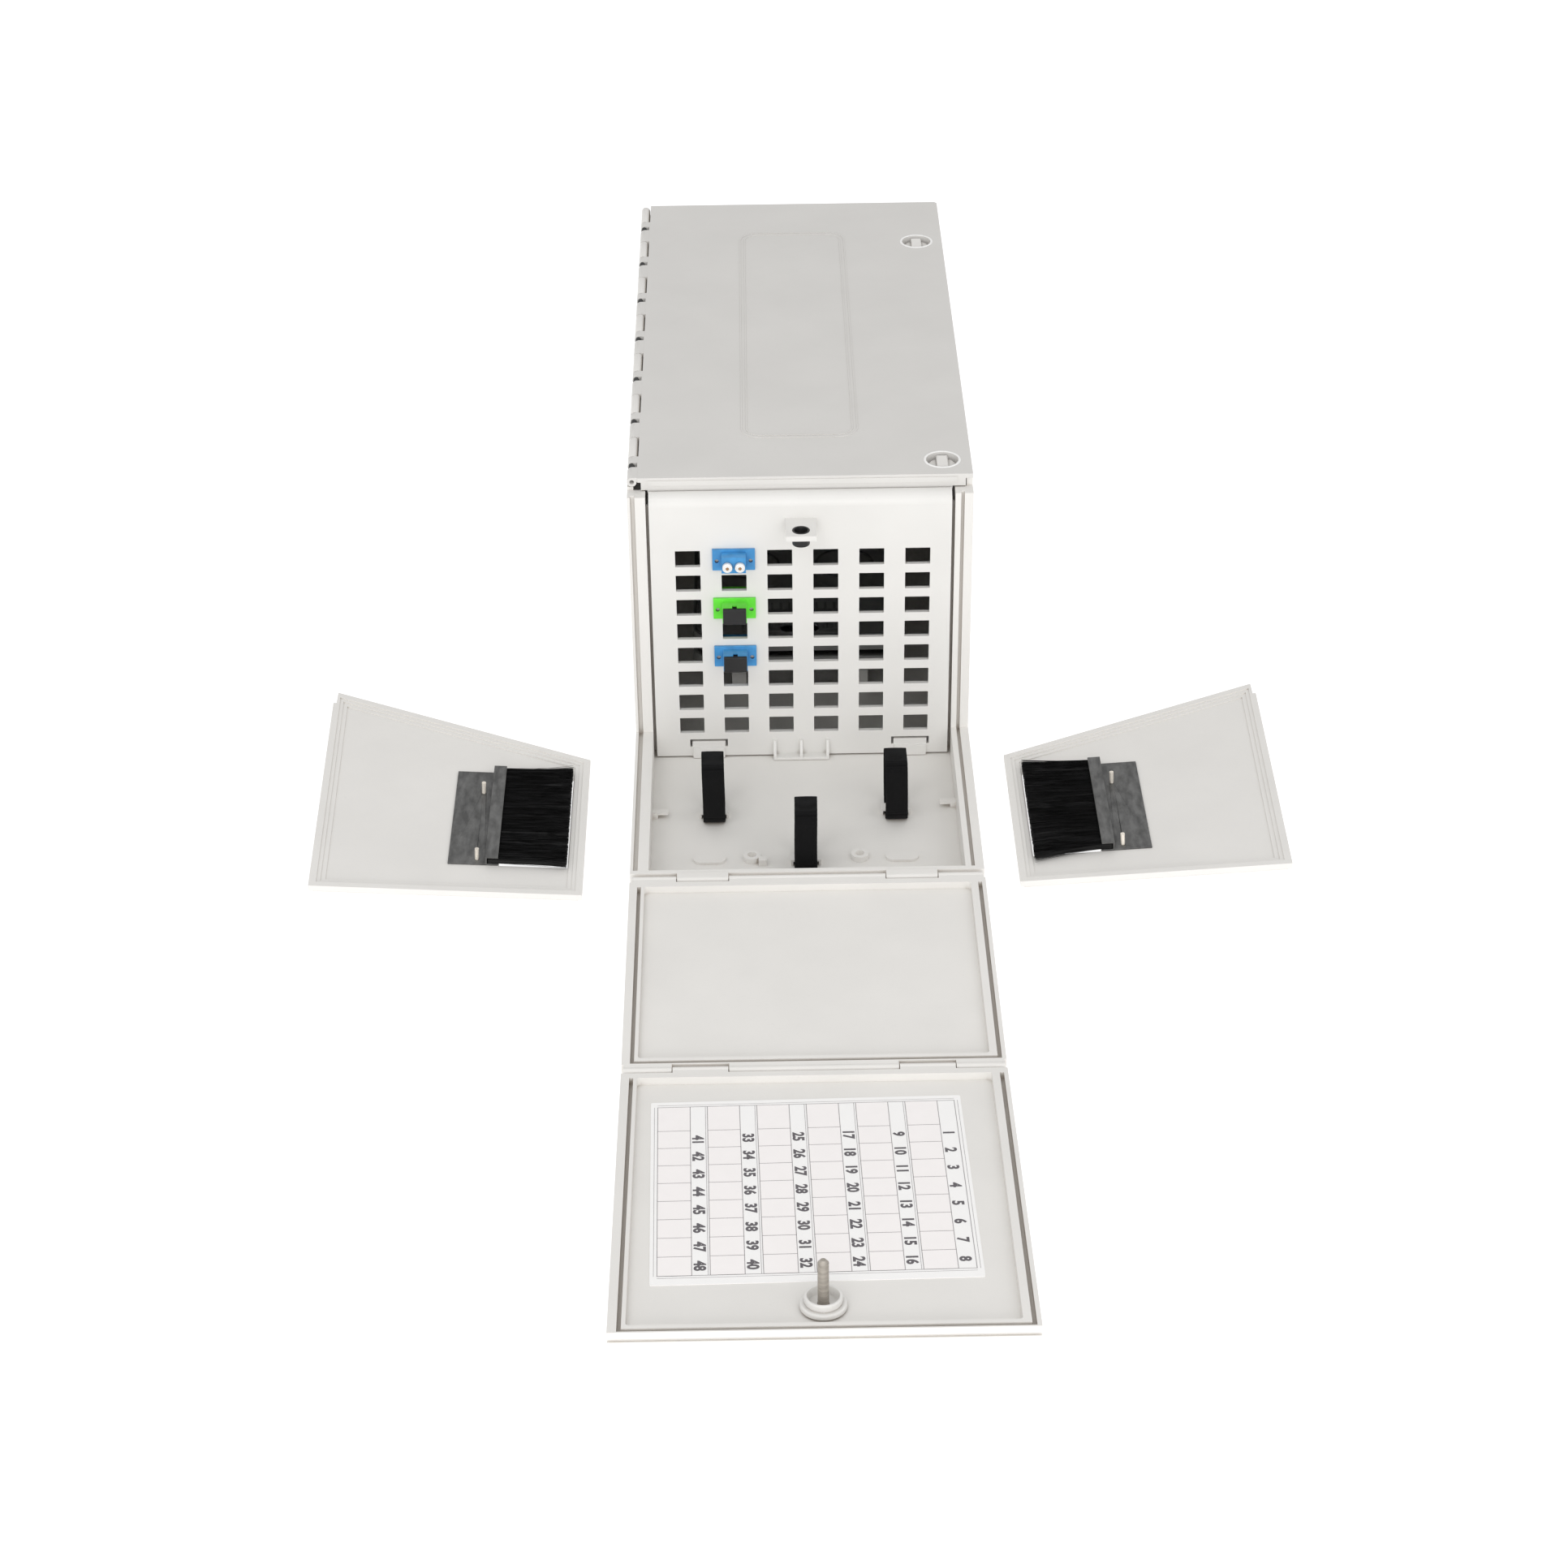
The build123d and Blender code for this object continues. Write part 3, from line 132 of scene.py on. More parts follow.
# ---------------------------------------------------------------- materials
class Nodes:
    """Short forms for building one material's node tree."""

    def __init__(self, name):
        self.mat = bpy.data.materials.new(name)
        self.mat.use_nodes = True
        self.tree = self.mat.node_tree
        self.shader = self.tree.nodes["Principled BSDF"]
        self.coord = self.tree.nodes.new("ShaderNodeTexCoord").outputs["Object"]

    def link(self, a, b):
        self.tree.links.new(a, b)

    def set(self, **values):
        for key, value in values.items():
            self.shader.inputs[key.replace("_", " ")].default_value = value

    def noise(self, scale, detail=3.0, stretch=None):
        """Noise over the object's own metres, drawn out along an axis where stretch is given."""
        tex = self.tree.nodes.new("ShaderNodeTexNoise")
        tex.inputs["Scale"].default_value = scale
        tex.inputs["Detail"].default_value = detail
        vector = self.coord
        if stretch:
            mapping = self.tree.nodes.new("ShaderNodeMapping")
            mapping.inputs["Scale"].default_value = stretch
            self.link(self.coord, mapping.inputs["Vector"])
            vector = mapping.outputs["Vector"]
        self.link(vector, tex.inputs["Vector"])
        return tex.outputs["Fac"]

    def wave(self, scale, axis):
        """Slightly uneven bands across an axis."""
        tex = self.tree.nodes.new("ShaderNodeTexWave")
        tex.bands_direction = axis
        tex.inputs["Scale"].default_value = scale
        tex.inputs["Distortion"].default_value = 0.6
        tex.inputs["Detail Scale"].default_value = 2.0
        self.link(self.coord, tex.inputs["Vector"])
        return tex.outputs["Fac"]

    def ramp(self, value, low, high, to_low, to_high):
        """Map low..high to to_low..to_high, and hold the ends."""
        node = self.tree.nodes.new("ShaderNodeMapRange")
        ends = {"From Min": low, "From Max": high, "To Min": to_low, "To Max": to_high}
        for key, number in ends.items():
            node.inputs[key].default_value = number
        self.link(value, node.inputs["Value"])
        return node.outputs["Result"]

    def math(self, kind, a, b):
        node = self.tree.nodes.new("ShaderNodeMath")
        node.operation = kind
        for socket, value in zip(node.inputs, (a, b)):
            if isinstance(value, (int, float)):
                socket.default_value = value
            else:
                self.link(value, socket)
        return node.outputs[0]

    def mix(self, factor, a, b):
        """Colour a where factor is 0 and b where it is 1; each is a tuple or a socket."""
        node = self.tree.nodes.new("ShaderNodeMix")
        node.data_type = "RGBA"
        self.link(factor, node.inputs[0])
        for socket, value in ((node.inputs[6], a), (node.inputs[7], b)):
            if isinstance(value, tuple):
                socket.default_value = (*value, 1)
            else:
                self.link(value, socket)
        return node.outputs[2]

    def crease(self, colour, dark, distance):
        """Painted shade: tint the colour towards dark where surfaces close in on each other."""
        node = self.tree.nodes.new("ShaderNodeAmbientOcclusion")
        node.samples = 14
        node.inputs["Distance"].default_value = distance
        return self.mix(self.ramp(node.outputs["AO"], 0.1, 0.6, 0.0, 1.0), dark, colour)

    def bump(self, height, strength, distance):
        node = self.tree.nodes.new("ShaderNodeBump")
        node.inputs["Strength"].default_value = strength
        node.inputs["Distance"].default_value = distance
        self.link(height, node.inputs["Height"])
        self.link(node.outputs["Normal"], self.shader.inputs["Normal"])

    def colour(self, value):
        self.link(value, self.shader.inputs["Base Color"])

    def roughness(self, value):
        self.link(value, self.shader.inputs["Roughness"])


def scaled(colour, k):
    return tuple(min(1.0, c * k) for c in colour)


GRAIN_SCALE, GRAIN_DEPTH = 1400, 0.00012
SPECK_SCALE, SPECK_SHARE = 620, 0.25


def moulded(name, base, rough, vary=0.02, patch=24.0, grain=0.12, dark=None, reach=0.006):
    """Moulded plastic: faint colour drift, fine texture, and painted shade in creases where dark is given.
    """
    n = Nodes(name)
    drift = n.ramp(n.noise(patch), 0.3, 0.7, 0.0, 1.0)
    colour = n.mix(drift, scaled(base, 1 - vary), scaled(base, 1 + vary))
    speck = n.ramp(n.noise(SPECK_SCALE, 2), 0.62, 0.8, 0.0, SPECK_SHARE)
    colour = n.mix(speck, colour, scaled(base, 0.9))
    if dark:
        colour = n.crease(colour, dark, reach)
    n.colour(colour)
    n.roughness(n.ramp(n.noise(60), 0.3, 0.7, rough - 0.05, rough + 0.06))
    n.bump(n.noise(GRAIN_SCALE, 2), grain, GRAIN_DEPTH)
    return n.mat


METAL_SHADE_REACH = 0.004


def metal(name, base, rough, vary=0.15, patch=160.0, metallic=0.8, stretch=None, dark=None):
    """Metal with a mottled surface and fine tool marks."""
    n = Nodes(name)
    blotch = n.ramp(n.noise(patch, 6, stretch), 0.35, 0.65, 0.0, 1.0)
    colour = n.mix(blotch, scaled(base, 1 - vary), scaled(base, 1 + vary))
    # painted shade: darken towards dark in creases, where dark is given
    if dark:
        colour = n.crease(colour, dark, METAL_SHADE_REACH)
    n.colour(colour)
    n.roughness(n.ramp(n.noise(patch * 2, 4), 0.3, 0.7, rough - 0.08, rough + 0.1))
    n.bump(n.noise(patch * 6, 3, stretch), 0.2, 0.00008)
    n.set(Metallic=metallic)
    return n.mat


def strap_cloth():
    """Black woven tape with a looped, dusty face."""
    n = Nodes("strap_fabric")
    weave = n.math("MULTIPLY", n.wave(900, "X"), n.wave(900, "Z"))
    fuzz = n.noise(2600, 5)
    height = n.math("ADD", weave, fuzz)
    black, worn = (0.002, 0.002, 0.002), (0.011, 0.011, 0.012)
    n.colour(n.mix(n.ramp(height, 0.4, 1.2, 0.0, 1.0), black, worn))
    n.set(Roughness=0.95, Sheen_Weight=0.03, Sheen_Roughness=0.5, Specular_IOR_Level=0.15)
    n.bump(height, 0.5, 0.0004)
    return n.mat


def bristle_hair():
    """Black nylon bristles, a little grey along some of them."""
    n = Nodes("bristle_fibre")
    streak = n.noise(900, 3, (0.05, 1.0, 1.0))
    black, grey = (0.003, 0.003, 0.003), (0.018, 0.018, 0.019)
    n.colour(n.mix(n.ramp(streak, 0.45, 0.75, 0.0, 1.0), black, grey))
    n.set(Specular_IOR_Level=0.3)
    n.roughness(n.ramp(streak, 0.3, 0.7, 0.4, 0.6))
    n.bump(n.noise(3000, 2), 0.2, 0.0001)
    return n.mat


def printed_paper(name, base, vary=0.02):
    """Paper or ink, with faint fibres."""
    n = Nodes(name)
    colour = n.mix(n.noise(140, 4), scaled(base, 1 - vary), scaled(base, 1 + vary))
    n.colour(colour)
    n.roughness(n.ramp(n.noise(500), 0.3, 0.7, 0.6, 0.75))
    n.bump(n.noise(2500, 4), 0.08, 0.0001)
    return n.mat


def clear_sheet():
    """Clear sheet with a slight handling haze."""
    n = Nodes("clear_plastic")
    n.colour(n.mix(n.noise(40), (0.90, 0.92, 0.93), (0.95, 0.97, 0.98)))
    n.roughness(n.ramp(n.noise(90), 0.3, 0.7, 0.06, 0.16))
    n.set(Transmission_Weight=0.9, IOR=1.49)
    return n.mat


# painted shade colour for the creases and grooves of the housing and the splice cover
GROOVE_SHADE = (0.49, 0.44, 0.385)
HOUSING = (0.80, 0.782, 0.752)
# where dark is given, a look darkens towards it in creases within reach: painted shade
looks = {
    # one look for each material slot of the record
    "housing_plastic": moulded("housing_plastic", HOUSING, 0.5, dark=GROOVE_SHADE, reach=0.004),
    "panel_plastic": moulded("panel_plastic", (0.765, 0.753, 0.728), 0.42, grain=0.08,
                             dark=(0.45, 0.41, 0.37), reach=0.003),
    "label_paper": printed_paper("label_paper", (0.95, 0.94, 0.93)),
    "blue_plastic": moulded("blue_plastic", (0.055, 0.285, 0.60), 0.38, vary=0.12, patch=200,
                            grain=0.06, dark=(0.004, 0.03, 0.12), reach=0.004),
    "green_plastic": moulded("green_plastic", (0.13, 0.74, 0.04), 0.38, vary=0.08, patch=200,
                             grain=0.06, dark=(0.01, 0.16, 0.01), reach=0.004),
    "lock_metal": metal("lock_metal", (0.42, 0.385, 0.34), 0.42, metallic=0.6, stretch=(1, 1, 5)),
    "clear_plastic": clear_sheet(),
    "strap_fabric": strap_cloth(),
    "screw_steel": metal("screw_steel", (0.86, 0.80, 0.71), 0.38, metallic=0.35,
                         dark=(0.20, 0.13, 0.08)),
    "grommet_rubber": moulded("grommet_rubber", (0.03, 0.03, 0.03), 0.7, vary=0.2, grain=0.3),
    "bracket_steel": metal("bracket_steel", (0.12, 0.12, 0.118), 0.42, vary=0.35, patch=260,
                           metallic=0.45, stretch=(1, 0.35, 1), dark=(0.02, 0.02, 0.02)),
    "bristle_fibre": bristle_hair(),
    "white_plastic": moulded("white_plastic", (0.86, 0.85, 0.83), 0.35, dark=(0.45, 0.40, 0.35),
                             reach=0.002),
    "black_plastic": moulded("black_plastic", (0.012, 0.012, 0.013), 0.45, vary=0.25, grain=0.2),
    "zinc_steel": metal("zinc_steel", (0.5, 0.5, 0.49), 0.35),
    # variants of those for single nodes
    # painted shade: strong dark tint in the latch dish and in the pockets beside the knob bar
    "latch": moulded("latch_plastic", HOUSING, 0.42, dark=(0.16, 0.13, 0.11), reach=0.007),
    # painted shade: the splice cover is a darker copy of the housing plastic, with painted shade in its
    # creases
    "cover": moulded("cover_plastic_shaded", (0.69, 0.675, 0.65), 0.5, dark=GROOVE_SHADE, reach=0.0015),
    "side": moulded("side_plastic", (0.775, 0.758, 0.73), 0.5, dark=(0.56, 0.52, 0.465),
                    reach=0.0015),
    # painted shade: near-black tint in the cassettes' creases and recesses
    "tray": moulded("cassette_plastic", (0.30, 0.30, 0.295), 0.5, dark=(0.03, 0.03, 0.03),
                    reach=0.006),
    # finishes of the pieces added below
    "cell_paper": printed_paper("label_cells", (0.95, 0.915, 0.905)),
    "grid_ink": printed_paper("label_lines", (0.36, 0.34, 0.345), 0.12),
    "number_ink": printed_paper("label_numbers", (0.13, 0.12, 0.13), 0.2),
    "core_brown": moulded("cap_centre", (0.36, 0.20, 0.09), 0.5, vary=0.15, patch=400),
    # painted highlight: a brighter, glossier white than the housing for the latch dish lips
    "rim_highlight_white": moulded("dish_rim_highlight", (0.93, 0.925, 0.91), 0.32, vary=0.015),
}
NODE_LOOK = {"splice_cover": "cover", "latch_knob_front": "latch", "latch_knob_rear": "latch",
             "side_panel_left": "side", "side_panel_right": "side", "cassette_lower": "tray",
             "cassette_upper": "tray"}
slot_of = {row["node"]: row["material_slot"] for row in frame["record"]["subparts"]}
for name, slot in slot_of.items():
    mesh = nodes[name].data
    mesh.materials.clear()
    mesh.materials.append(looks[NODE_LOOK.get(name, slot)])


# ---------------------------------------------------------------- pieces
def add_piece(name, shape, body, slot, look=None, smooth=False):
    """A new mesh object that rides on a body."""
    mesh = bpy.data.meshes.new(name)
    mesh.from_pydata(shape.verts, [], shape.faces)
    mesh.update()
    if smooth:
        mesh.shade_smooth()
    mesh.materials.append(looks[look or slot])
    piece = bpy.data.objects.new(name, mesh)
    bpy.context.scene.collection.objects.link(piece)
    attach(piece, body)
    return piece


STRAND_TAPER = 0.45


def box_mm(node):
    """Low and high corner of a node's box, in millimetres."""
    return (Vector(corner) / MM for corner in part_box(node))


class Shape:
    """Vertices and faces collected from several small forms, each given in local millimetres."""

    def __init__(self, place=lambda p: p * MM):
        self.place, self.verts, self.faces = place, [], []

    def rings(self, rings, close_ends=True):
        """Skin over equal rings of local points."""
        first, count = len(self.verts), len(rings[0])
        for ring in rings:
            self.verts += [self.place(Vector(p)) for p in ring]
        for r in range(len(rings) - 1):
            a, b = first + r * count, first + (r + 1) * count
            for k in range(count):
                j = (k + 1) % count
                self.faces.append((a + k, a + j, b + j, b + k))
        if close_ends:
            last = first + (len(rings) - 1) * count
            self.faces.append(tuple(reversed(range(first, first + count))))
            self.faces.append(tuple(range(last, last + count)))

    def slab(self, x0, x1, y0, y1, z0, z1):
        """A flat block."""
        self.rings([[(x0, y0, z), (x1, y0, z), (x1, y1, z), (x0, y1, z)] for z in (z0, z1)])

    def turned(self, profile, centre, axis_y=True, steps=28, close_ends=True):
        """A form turned about y, or about z, from (radius, height) pairs."""
        rings = []
        for r, h in profile:
            ring = []
            for k in range(steps):
                c, s = r * math.cos(TAU * k / steps), r * math.sin(TAU * k / steps)
                ring.append(Vector(centre) + (Vector((c, h, -s)) if axis_y else Vector((c, s, h))))
            rings.append(ring)
        self.rings(rings, close_ends)

    def strand(self, points, radius, sides=3):
        """Thin tapering tube along points that run mostly along local x."""
        rings = []
        for k, (x, y, z) in enumerate(points):
            r = radius * (1.0 - STRAND_TAPER * k / (len(points) - 1))
            angles = [TAU * j / sides for j in range(sides)]
            rings.append([(x, y + r * math.cos(a), z + r * math.sin(a)) for a in angles])
        self.rings(rings)


# ---------------------------------------------------------------- label on the front door
HINGE = sum(box_mm("front_door_hinge_pin"), Vector()) / 2
DOOR_TILT = math.radians(5.0)
SHEET_TOP = -1.7                 # the sheet's upper face, from the hinge axis
SHEET_W, SHEET_L = 142.5, 139.5
SHEET_MIDDLE = (-3.2, -91.6)     # across and along the door, from the hinge axis
SHEET_TURN = math.radians(1.0)


def on_label(p):
    """From the sheet's own millimetres, with its middle at the origin, to the world."""
    x = p.x * math.cos(SHEET_TURN) - p.y * math.sin(SHEET_TURN) + SHEET_MIDDLE[0]
    y = p.x * math.sin(SHEET_TURN) + p.y * math.cos(SHEET_TURN) + SHEET_MIDDLE[1]
    z = SHEET_TOP + p.z
    c, s = math.cos(DOOR_TILT), math.sin(DOOR_TILT)
    return (Vector((0, HINGE.y, HINGE.z)) + Vector((x, y * c + z * s, z * c - y * s))) * MM


GRID_X0, GRID_Y1 = -SHEET_W / 2 + 3.2, SHEET_L / 2 - 4.2
PAIR_W, WIDE_W, HEAD_H, ROW_H = 22.7, 14.8, 19.5, 13.7
PAIR_GAP = 0.9                   # between a number column and the next wide column
COLUMNS, ROWS = 6, 8
FRAME_GAP = 1.5                  # between the grid and the frame line around it
LINE_W, PAIR_LINE_W, FRAME_LINE_W = 0.16, 0.1, 0.09
CELL_TOP, LINE_TOP, NUMBER_Z = 0.02, 0.05, 0.06
NUMBER_SIZE, NUMBER_WEIGHT = 7.0, 0.28


def add_label():
    """Cells, grid lines and running numbers printed on the sheet."""
    cells, lines, digits = Shape(on_label), Shape(on_label), Shape(on_label)
    bottom = GRID_Y1 - HEAD_H - ROWS * ROW_H
    right = GRID_X0 + COLUMNS * PAIR_W

    def line(x0, y0, x1, y1, w=LINE_W):
        lines.slab(x0 - w, x1 + w, y0 - w, y1 + w, CELL_TOP, LINE_TOP)

    for c in range(COLUMNS):
        x = GRID_X0 + c * PAIR_W
        cells.slab(x, x + WIDE_W, bottom, GRID_Y1, 0.0, CELL_TOP)
        line(x, bottom, x, GRID_Y1)
        line(x + WIDE_W, bottom, x + WIDE_W, GRID_Y1)
        if c:
            line(x - PAIR_GAP, bottom, x - PAIR_GAP, GRID_Y1, PAIR_LINE_W)
        for r in range(ROWS + 1):
            y = GRID_Y1 - HEAD_H - r * ROW_H
            line(x, y, x + WIDE_W, y)
        for r in range(ROWS):
            number = (COLUMNS - 1 - c) * ROWS + r + 1
            across = x + (WIDE_W + PAIR_W - PAIR_GAP) / 2
            add_number(digits, str(number), (across, GRID_Y1 - HEAD_H - (r + 0.5) * ROW_H))
    line(right, bottom, right, GRID_Y1)
    line(GRID_X0, GRID_Y1, right, GRID_Y1)
    line(GRID_X0, bottom, right, bottom)
    for x, out in ((GRID_X0, -FRAME_GAP), (right, FRAME_GAP)):
        line(x + out, bottom, x + out, GRID_Y1, FRAME_LINE_W)
    for y, out in ((GRID_Y1, FRAME_GAP), (bottom, -FRAME_GAP)):
        line(GRID_X0, y + out, right, y + out, FRAME_LINE_W)
    add_piece("label_cells", cells, "front_door", "label_paper", "cell_paper")
    add_piece("label_lines", lines, "front_door", "label_paper", "grid_ink")
    add_piece("label_numbers", digits, "front_door", "label_paper", "number_ink")


def add_number(shape, text, middle):
    """A printed number, read from the sheet's left side."""
    curve = bpy.data.curves.new("number", "FONT")
    curve.body = text
    curve.size = NUMBER_SIZE
    curve.offset = NUMBER_WEIGHT
    curve.resolution_u = 3
    maker = bpy.data.objects.new("number", curve)
    mesh = bpy.data.meshes.new_from_object(maker)
    xs = [v.co.x for v in mesh.vertices]
    ys = [v.co.y for v in mesh.vertices]
    cx, cy = (min(xs) + max(xs)) / 2, (min(ys) + max(ys)) / 2
    first = len(shape.verts)
    for v in mesh.vertices:
        turned = Vector((middle[0] + v.co.y - cy, middle[1] - v.co.x + cx, NUMBER_Z))
        shape.verts.append(shape.place(turned))
    for face in mesh.polygons:
        shape.faces.append(tuple(first + k for k in face.vertices))
    bpy.data.meshes.remove(mesh)
    bpy.data.objects.remove(maker)
    bpy.data.curves.remove(curve)


add_label()


# ---------------------------------------------------------------- side brushes
SIDE_LEAN = math.radians(3.6)
SIDE_PITCH = {"left": math.radians(2.3), "right": 0.0}
SIDE_CORNER = {"left": (-115.2, -133.3, 0), "right": (109.6, -127.4, 0)}
BRUSH_V = (25.9, 107.6)          # the strip's near and far end
BRUSH_U = (8.7, 49.6)            # the bristles' tips and roots
BRUSH_Z = (4.15, 7.2)            # the bristles' lowest and highest roots
PANEL_FACE = 3.4                 # no bristle goes below this
FAN = {"left": (-1.5, 3.0), "right": (-6.0, 3.5)}    # how far each end of the strip spreads
STRANDS = 2600
STRAND_R = (0.13, 0.2)
STRAY_SHARE = 0.02
CORE_RINGS, CORE_STEPS = 15, 30
CORE_FAN, CORE_SHORT = 0.8, 0.6


def side_place(side):
    """From a side panel's own millimetres to the world."""
    s = -1 if side == "left" else 1
    u = Vector((s * math.cos(SIDE_LEAN), 0, math.sin(SIDE_LEAN)))
    v = Vector((0, math.cos(SIDE_PITCH[side]), math.sin(SIDE_PITCH[side])))
    n = (u.cross(v) * s).normalized()
    across = n.cross(u) * s
    corner = Vector(SIDE_CORNER[side])
    return lambda p: (corner + u * p.x + across * p.y + n * p.z) * MM


def fan_at(side, t, reach):
    """Sideways spread of a bristle that starts at t along the strip, at reach of its length."""
    near, far = FAN[side]
    return (near * (1 - t) ** 4 + far * t ** 4) * reach ** 1.6


def add_brush(side):
    """Thousands of separate bristles over a dark core, with a few that stand out."""
    rng = random.Random(11 if side == "left" else 23)
    shape = Shape(side_place(side))
    core = []
    low, high = BRUSH_Z[0] + 0.3, BRUSH_Z[1] - 0.5
    for k in range(CORE_RINGS):
        reach = k / (CORE_RINGS - 1)
        u = BRUSH_U[1] + (BRUSH_U[0] + CORE_SHORT - BRUSH_U[1]) * reach
        v0 = BRUSH_V[0] + fan_at(side, 0.0, reach) * CORE_FAN
        v1 = BRUSH_V[1] + fan_at(side, 1.0, reach) * CORE_FAN
        along = [(j, v0 + (v1 - v0) * j / CORE_STEPS) for j in range(CORE_STEPS + 1)]
        top = [(u, v, high + 0.25 * noise.noise(Vector((u * 0.2, j * 0.9, 0)))) for j, v in along]
        core.append(top + [(u, v, low) for _, v in reversed(along)])
    shape.rings(core)
    for k in range(STRANDS):
        t = rng.random()
        v = BRUSH_V[0] + (BRUSH_V[1] - BRUSH_V[0]) * t
        z = rng.uniform(*BRUSH_Z)
        tip = BRUSH_U[0] + abs(rng.gauss(0, 0.8))
        stray = rng.gauss(0, 0.7)
        lift = rng.gauss(0, 0.25)
        if rng.random() < STRAY_SHARE:
            stray *= 4
            lift = abs(lift) * 5
        points = []
        for j in range(5):
            reach = j / 4
            bow = stray * reach ** 1.5 + 0.25 * math.sin(3.0 * reach + k)
            points.append((BRUSH_U[1] + (tip - BRUSH_U[1]) * reach,
                           v + fan_at(side, t, reach) + bow * reach,
                           max(PANEL_FACE, z + lift * reach ** 2)))
        shape.strand(points, rng.uniform(*STRAND_R))
    piece = add_piece(f"bristles_{side}", shape, f"side_panel_{side}", "bristle_fibre")
    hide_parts(f"entry_brush_{side}")


for side in ("left", "right"):
    add_brush(side)


# ---------------------------------------------------------------- hook-and-loop straps
TAPE_T = 1.3
TAPE_CORNER_R = 4.0
TAPE_SECTION = ((-1, 0.15), (-0.96, 0.0), (0.96, 0.0), (1, 0.15), (1, 0.85), (0.96, 1.0), (0.5, 1.08),
                (0, 1.1), (-0.5, 1.08), (-0.96, 1.0), (-1, 0.85))    # across and outward, 1 is full size
FRAY, FRAY_ROOM = 0.08, 0.35


def strap_path(t, width, height, radius):
    """Point and outward direction at t around a rounded rectangle, from the middle of its front side."""
    w, h = width / 2 - radius, height / 2 - radius
    arc = radius * math.pi / 2
    legs = [h, arc, 2 * w, arc, 2 * h, arc, 2 * w, arc, h]
    left = t * sum(legs)
    k = 0
    while k < 8 and left > legs[k]:
        left -= legs[k]
        k += 1
    corners = {1: (-w, h, 180), 3: (w, h, 90), 5: (w, -h, 0), 7: (-w, -h, -90)}
    if k in corners:
        cy, cz, start = corners[k]
        a = math.radians(start - 90 * left / arc)
        out = Vector((0, math.cos(a), math.sin(a)))
        return Vector((0, cy, cz)) + out * radius, out
    return {0: (Vector((0, -width / 2, left)), Vector((0, -1, 0))),
            2: (Vector((0, -w + left, height / 2)), Vector((0, 0, 1))),
            4: (Vector((0, width / 2, h - left)), Vector((0, 1, 0))),
            6: (Vector((0, w - left, -height / 2)), Vector((0, 0, -1))),
            8: (Vector((0, -width / 2, -h + left)), Vector((0, -1, 0)))}[k]


def add_strap(side, seed):
    """A worn loop of tape whose end overlaps its front."""
    node = f"cable_strap_{side}"
    low, high = box_mm(node)
    middle, size = (low + high) / 2, high - low
    rng = random.Random(seed)
    phase = [rng.uniform(0, TAU) for _ in range(3)]
    shape = Shape(lambda p: (middle + p) * MM)

    def section(t, lift, width):
        at, out = strap_path(t, size.y - 2 * TAPE_T, size.z - 2 * TAPE_T, TAPE_CORNER_R)
        wave = 0.35 * math.sin(TAU * 2 * t + phase[0]) + 0.2 * math.sin(TAU * 5 * t + phase[1])
        lean = 0.5 * math.sin(TAU * t + phase[2])
        ring = []
        for x, o in TAPE_SECTION:
            fray = FRAY * noise.noise(Vector((t * 90, x * 3, seed)))
            edge = x * (width / 2 - FRAY_ROOM) + (fray if abs(x) > 0.9 else 0)
            outward = out * (lift + o * TAPE_T + wave * 0.5)
            ring.append(at + outward + Vector((edge + lean * 0.5, 0, 0)))
        return ring

    loop = [section(k / 150, 0.0, size.x) for k in range(150)]
    shape.rings(loop + loop[:1], close_ends=False)
    tail_from, tail_to, tail_steps = -0.12, 0.16, 46
    tail = [section((tail_from + (tail_to - tail_from) * k / tail_steps) % 1.0, TAPE_T * 1.1, size.x - 0.6)
            for k in range(tail_steps + 1)]
    shape.rings(tail)
    piece = add_piece(f"tape_{side}", shape, "base", "strap_fabric", smooth=True)
    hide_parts(node)


for seed, side in enumerate(("left", "right", "centre")):
    add_strap(side, seed + 3)


# ---------------------------------------------------------------- small details
CAP_RIM = ((0.95, -0.05), (1.0, -0.35), (1.3, -0.4), (1.7, -0.3), (1.9, 0.1))
CAP_CENTRE = ((0.05, -0.46), (0.5, -0.46), (0.72, -0.38), (0.78, 0.1))
# black sleeves in the hinge knuckle gaps, painted shade for those gaps
GAP_SHADE_PROFILE = ((0.9, -2.3), (1.35, -2.2), (1.5, -1.9), (1.5, 1.9), (1.35, 2.2), (0.9, 2.3))
GAP_SHADE_COUNT, FIRST_GAP_SHADE_Y, GAP_SHADE_PITCH = 7, 23.0, 51.5
GAP_SHADE_OFFSET = (-0.4, 0.9)      # from the hinge axis, across and up
DISH_R, COVER_TOP = 8.45, 170.0
DISH_LIP = ((0.0, -0.5), (0.0, 0.12), (0.25, 0.27), (0.9, 0.29), (1.25, 0.1), (1.3, -0.1))


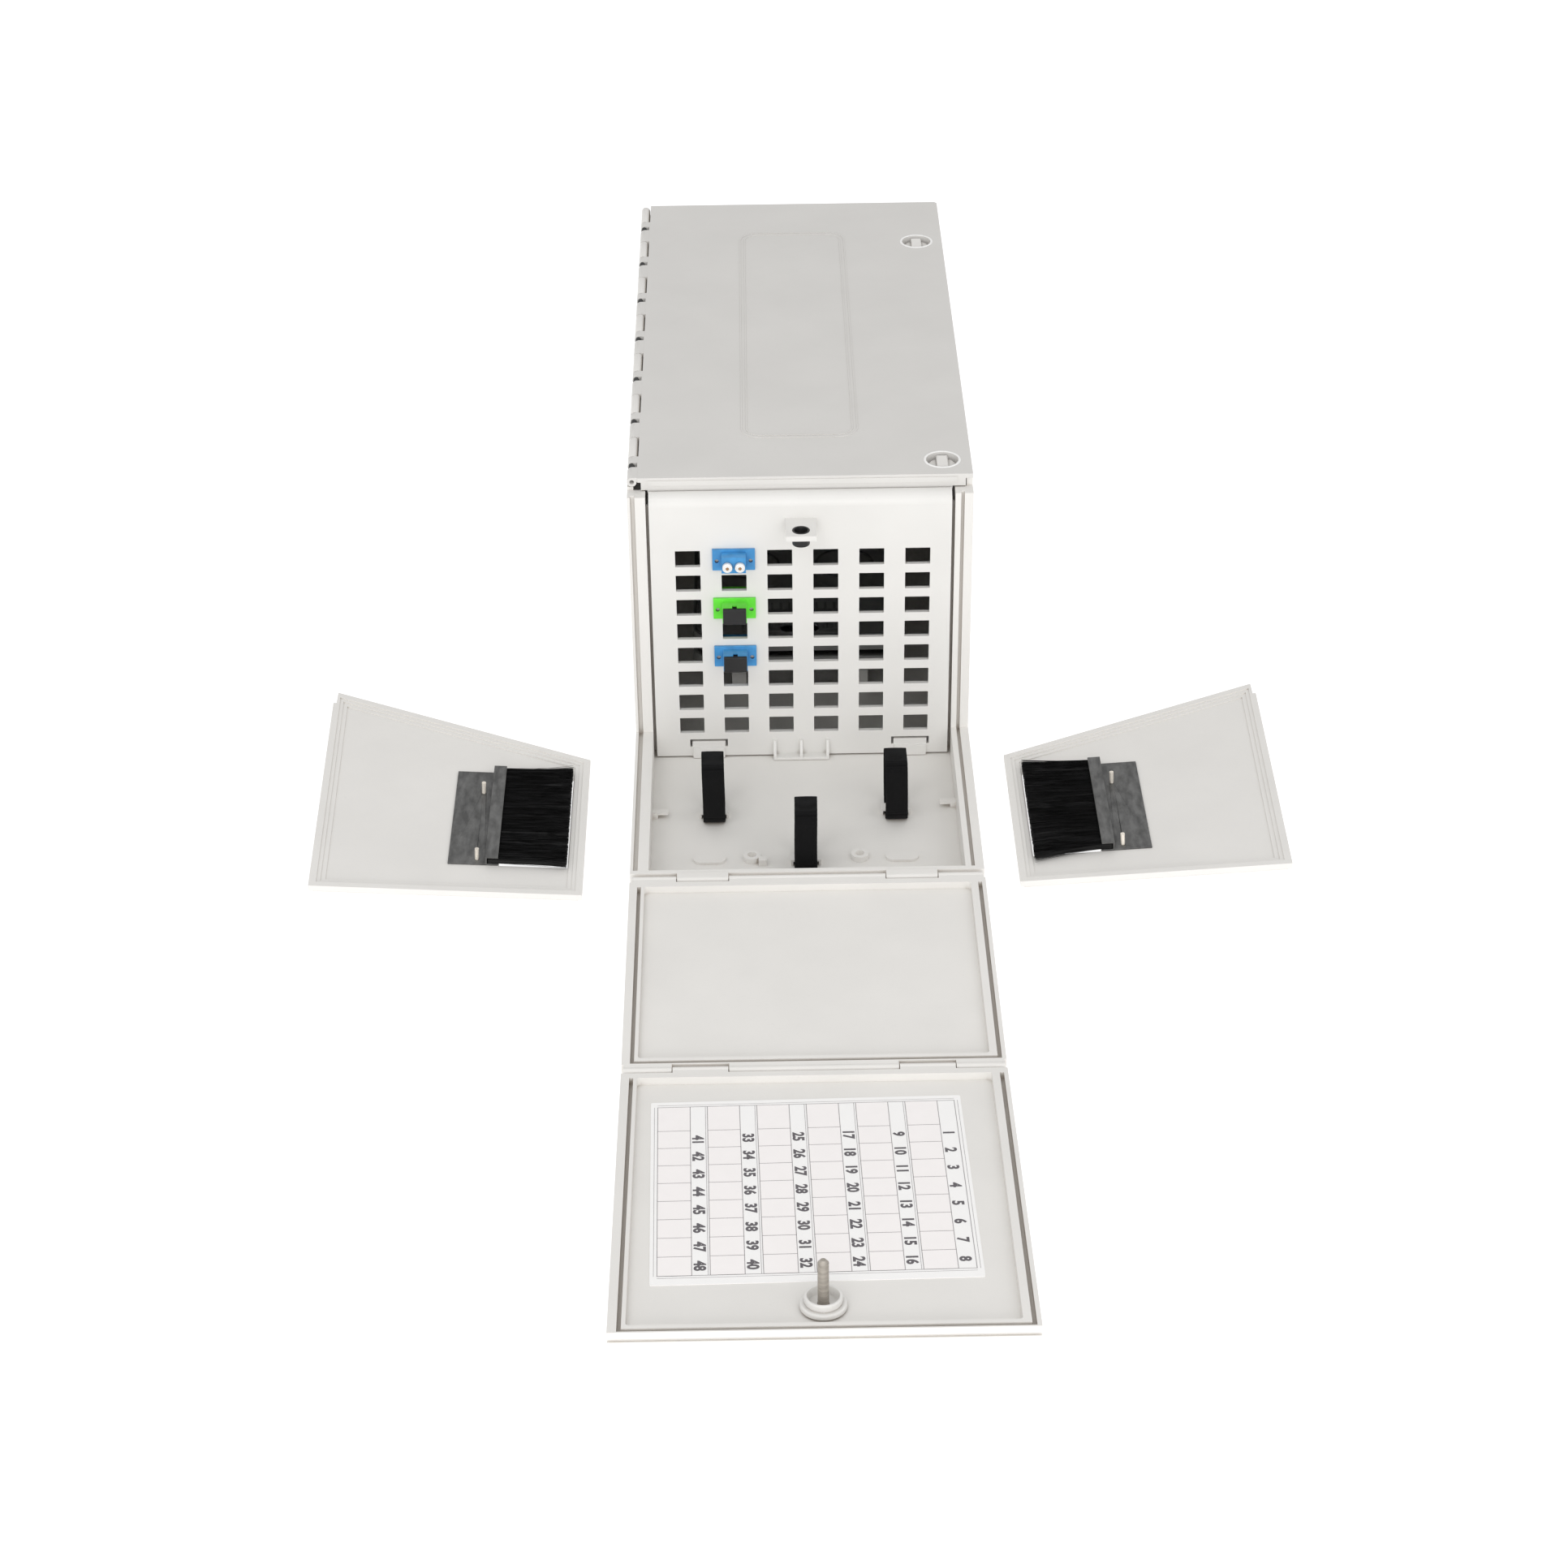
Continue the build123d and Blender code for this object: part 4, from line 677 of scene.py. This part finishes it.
def add_cap_centres():
    """Raised rim and moulded centre on each round dust cap."""
    for side in ("left", "right"):
        low, high = box_mm(f"dust_cap_lc_{side}")
        centre = Vector(((low.x + high.x) / 2, low.y, (low.z + high.z) / 2))
        for name, profile, look in (("cap_rim", CAP_RIM, None), ("cap_centre", CAP_CENTRE, "core_brown")):
            shape = Shape()
            shape.turned(profile, centre)
            add_piece(f"{name}_{side}", shape, f"dust_cap_lc_{side}", "white_plastic", look, smooth=True)


def add_hinge_sleeves():
    """Painted shade: black sleeves on the splice cover's hinge axis that darken the gaps between its
    knuckles.
    """
    low, high = box_mm("cover_hinge_pins")
    x, z = (low.x + high.x) / 2 + GAP_SHADE_OFFSET[0], (low.z + high.z) / 2 + GAP_SHADE_OFFSET[1]
    for k in range(GAP_SHADE_COUNT):
        shape = Shape()
        shape.turned(GAP_SHADE_PROFILE, (x, FIRST_GAP_SHADE_Y + GAP_SHADE_PITCH * k, z))
        add_piece(f"hinge_gap_shade_{k + 1}", shape, "base", "grommet_rubber", smooth=True)


def add_dish_rims():
    """Moulded lip around each latch dish in the splice cover, in a brighter, glossier white than the cover
    as a painted highlight.
    """
    for side in ("front", "rear"):
        low, high = box_mm(f"latch_knob_{side}")
        middle = ((low.x + high.x) / 2, (low.y + high.y) / 2, COVER_TOP)
        shape = Shape()
        shape.turned([(DISH_R + out, up) for out, up in DISH_LIP], middle, axis_y=False, steps=48,
                     close_ends=False)
        add_piece(f"dish_rim_{side}", shape, "splice_cover", "white_plastic", "rim_highlight_white", smooth=True)


add_cap_centres()
add_hinge_sleeves()
add_dish_rims()

# ---------------------------------------------------------------- softened edges on the moulded parts
BEVELS = {"housing_plastic": 0.35, "panel_plastic": 0.25, "blue_plastic": 0.2, "green_plastic": 0.2,
          "white_plastic": 0.15, "black_plastic": 0.25, "bracket_steel": 0.2, "screw_steel": 0.12}
WELD_WITHIN = 0.00001
SHARP = math.radians(40)
for name, slot in slot_of.items():
    node = nodes[name]
    # a bevel shades the side panels' long thin faces unevenly
    if slot not in BEVELS or node.hide_render or name.startswith("side_panel"):
        continue
    weld = node.modifiers.new("weld", "WELD")
    weld.merge_threshold = WELD_WITHIN
    bevel = node.modifiers.new("bevel", "BEVEL")
    bevel.width = BEVELS[slot] * MM
    bevel.segments = 2
    bevel.limit_method = "ANGLE"
    bevel.angle_limit = SHARP
    bevel.use_clamp_overlap = True
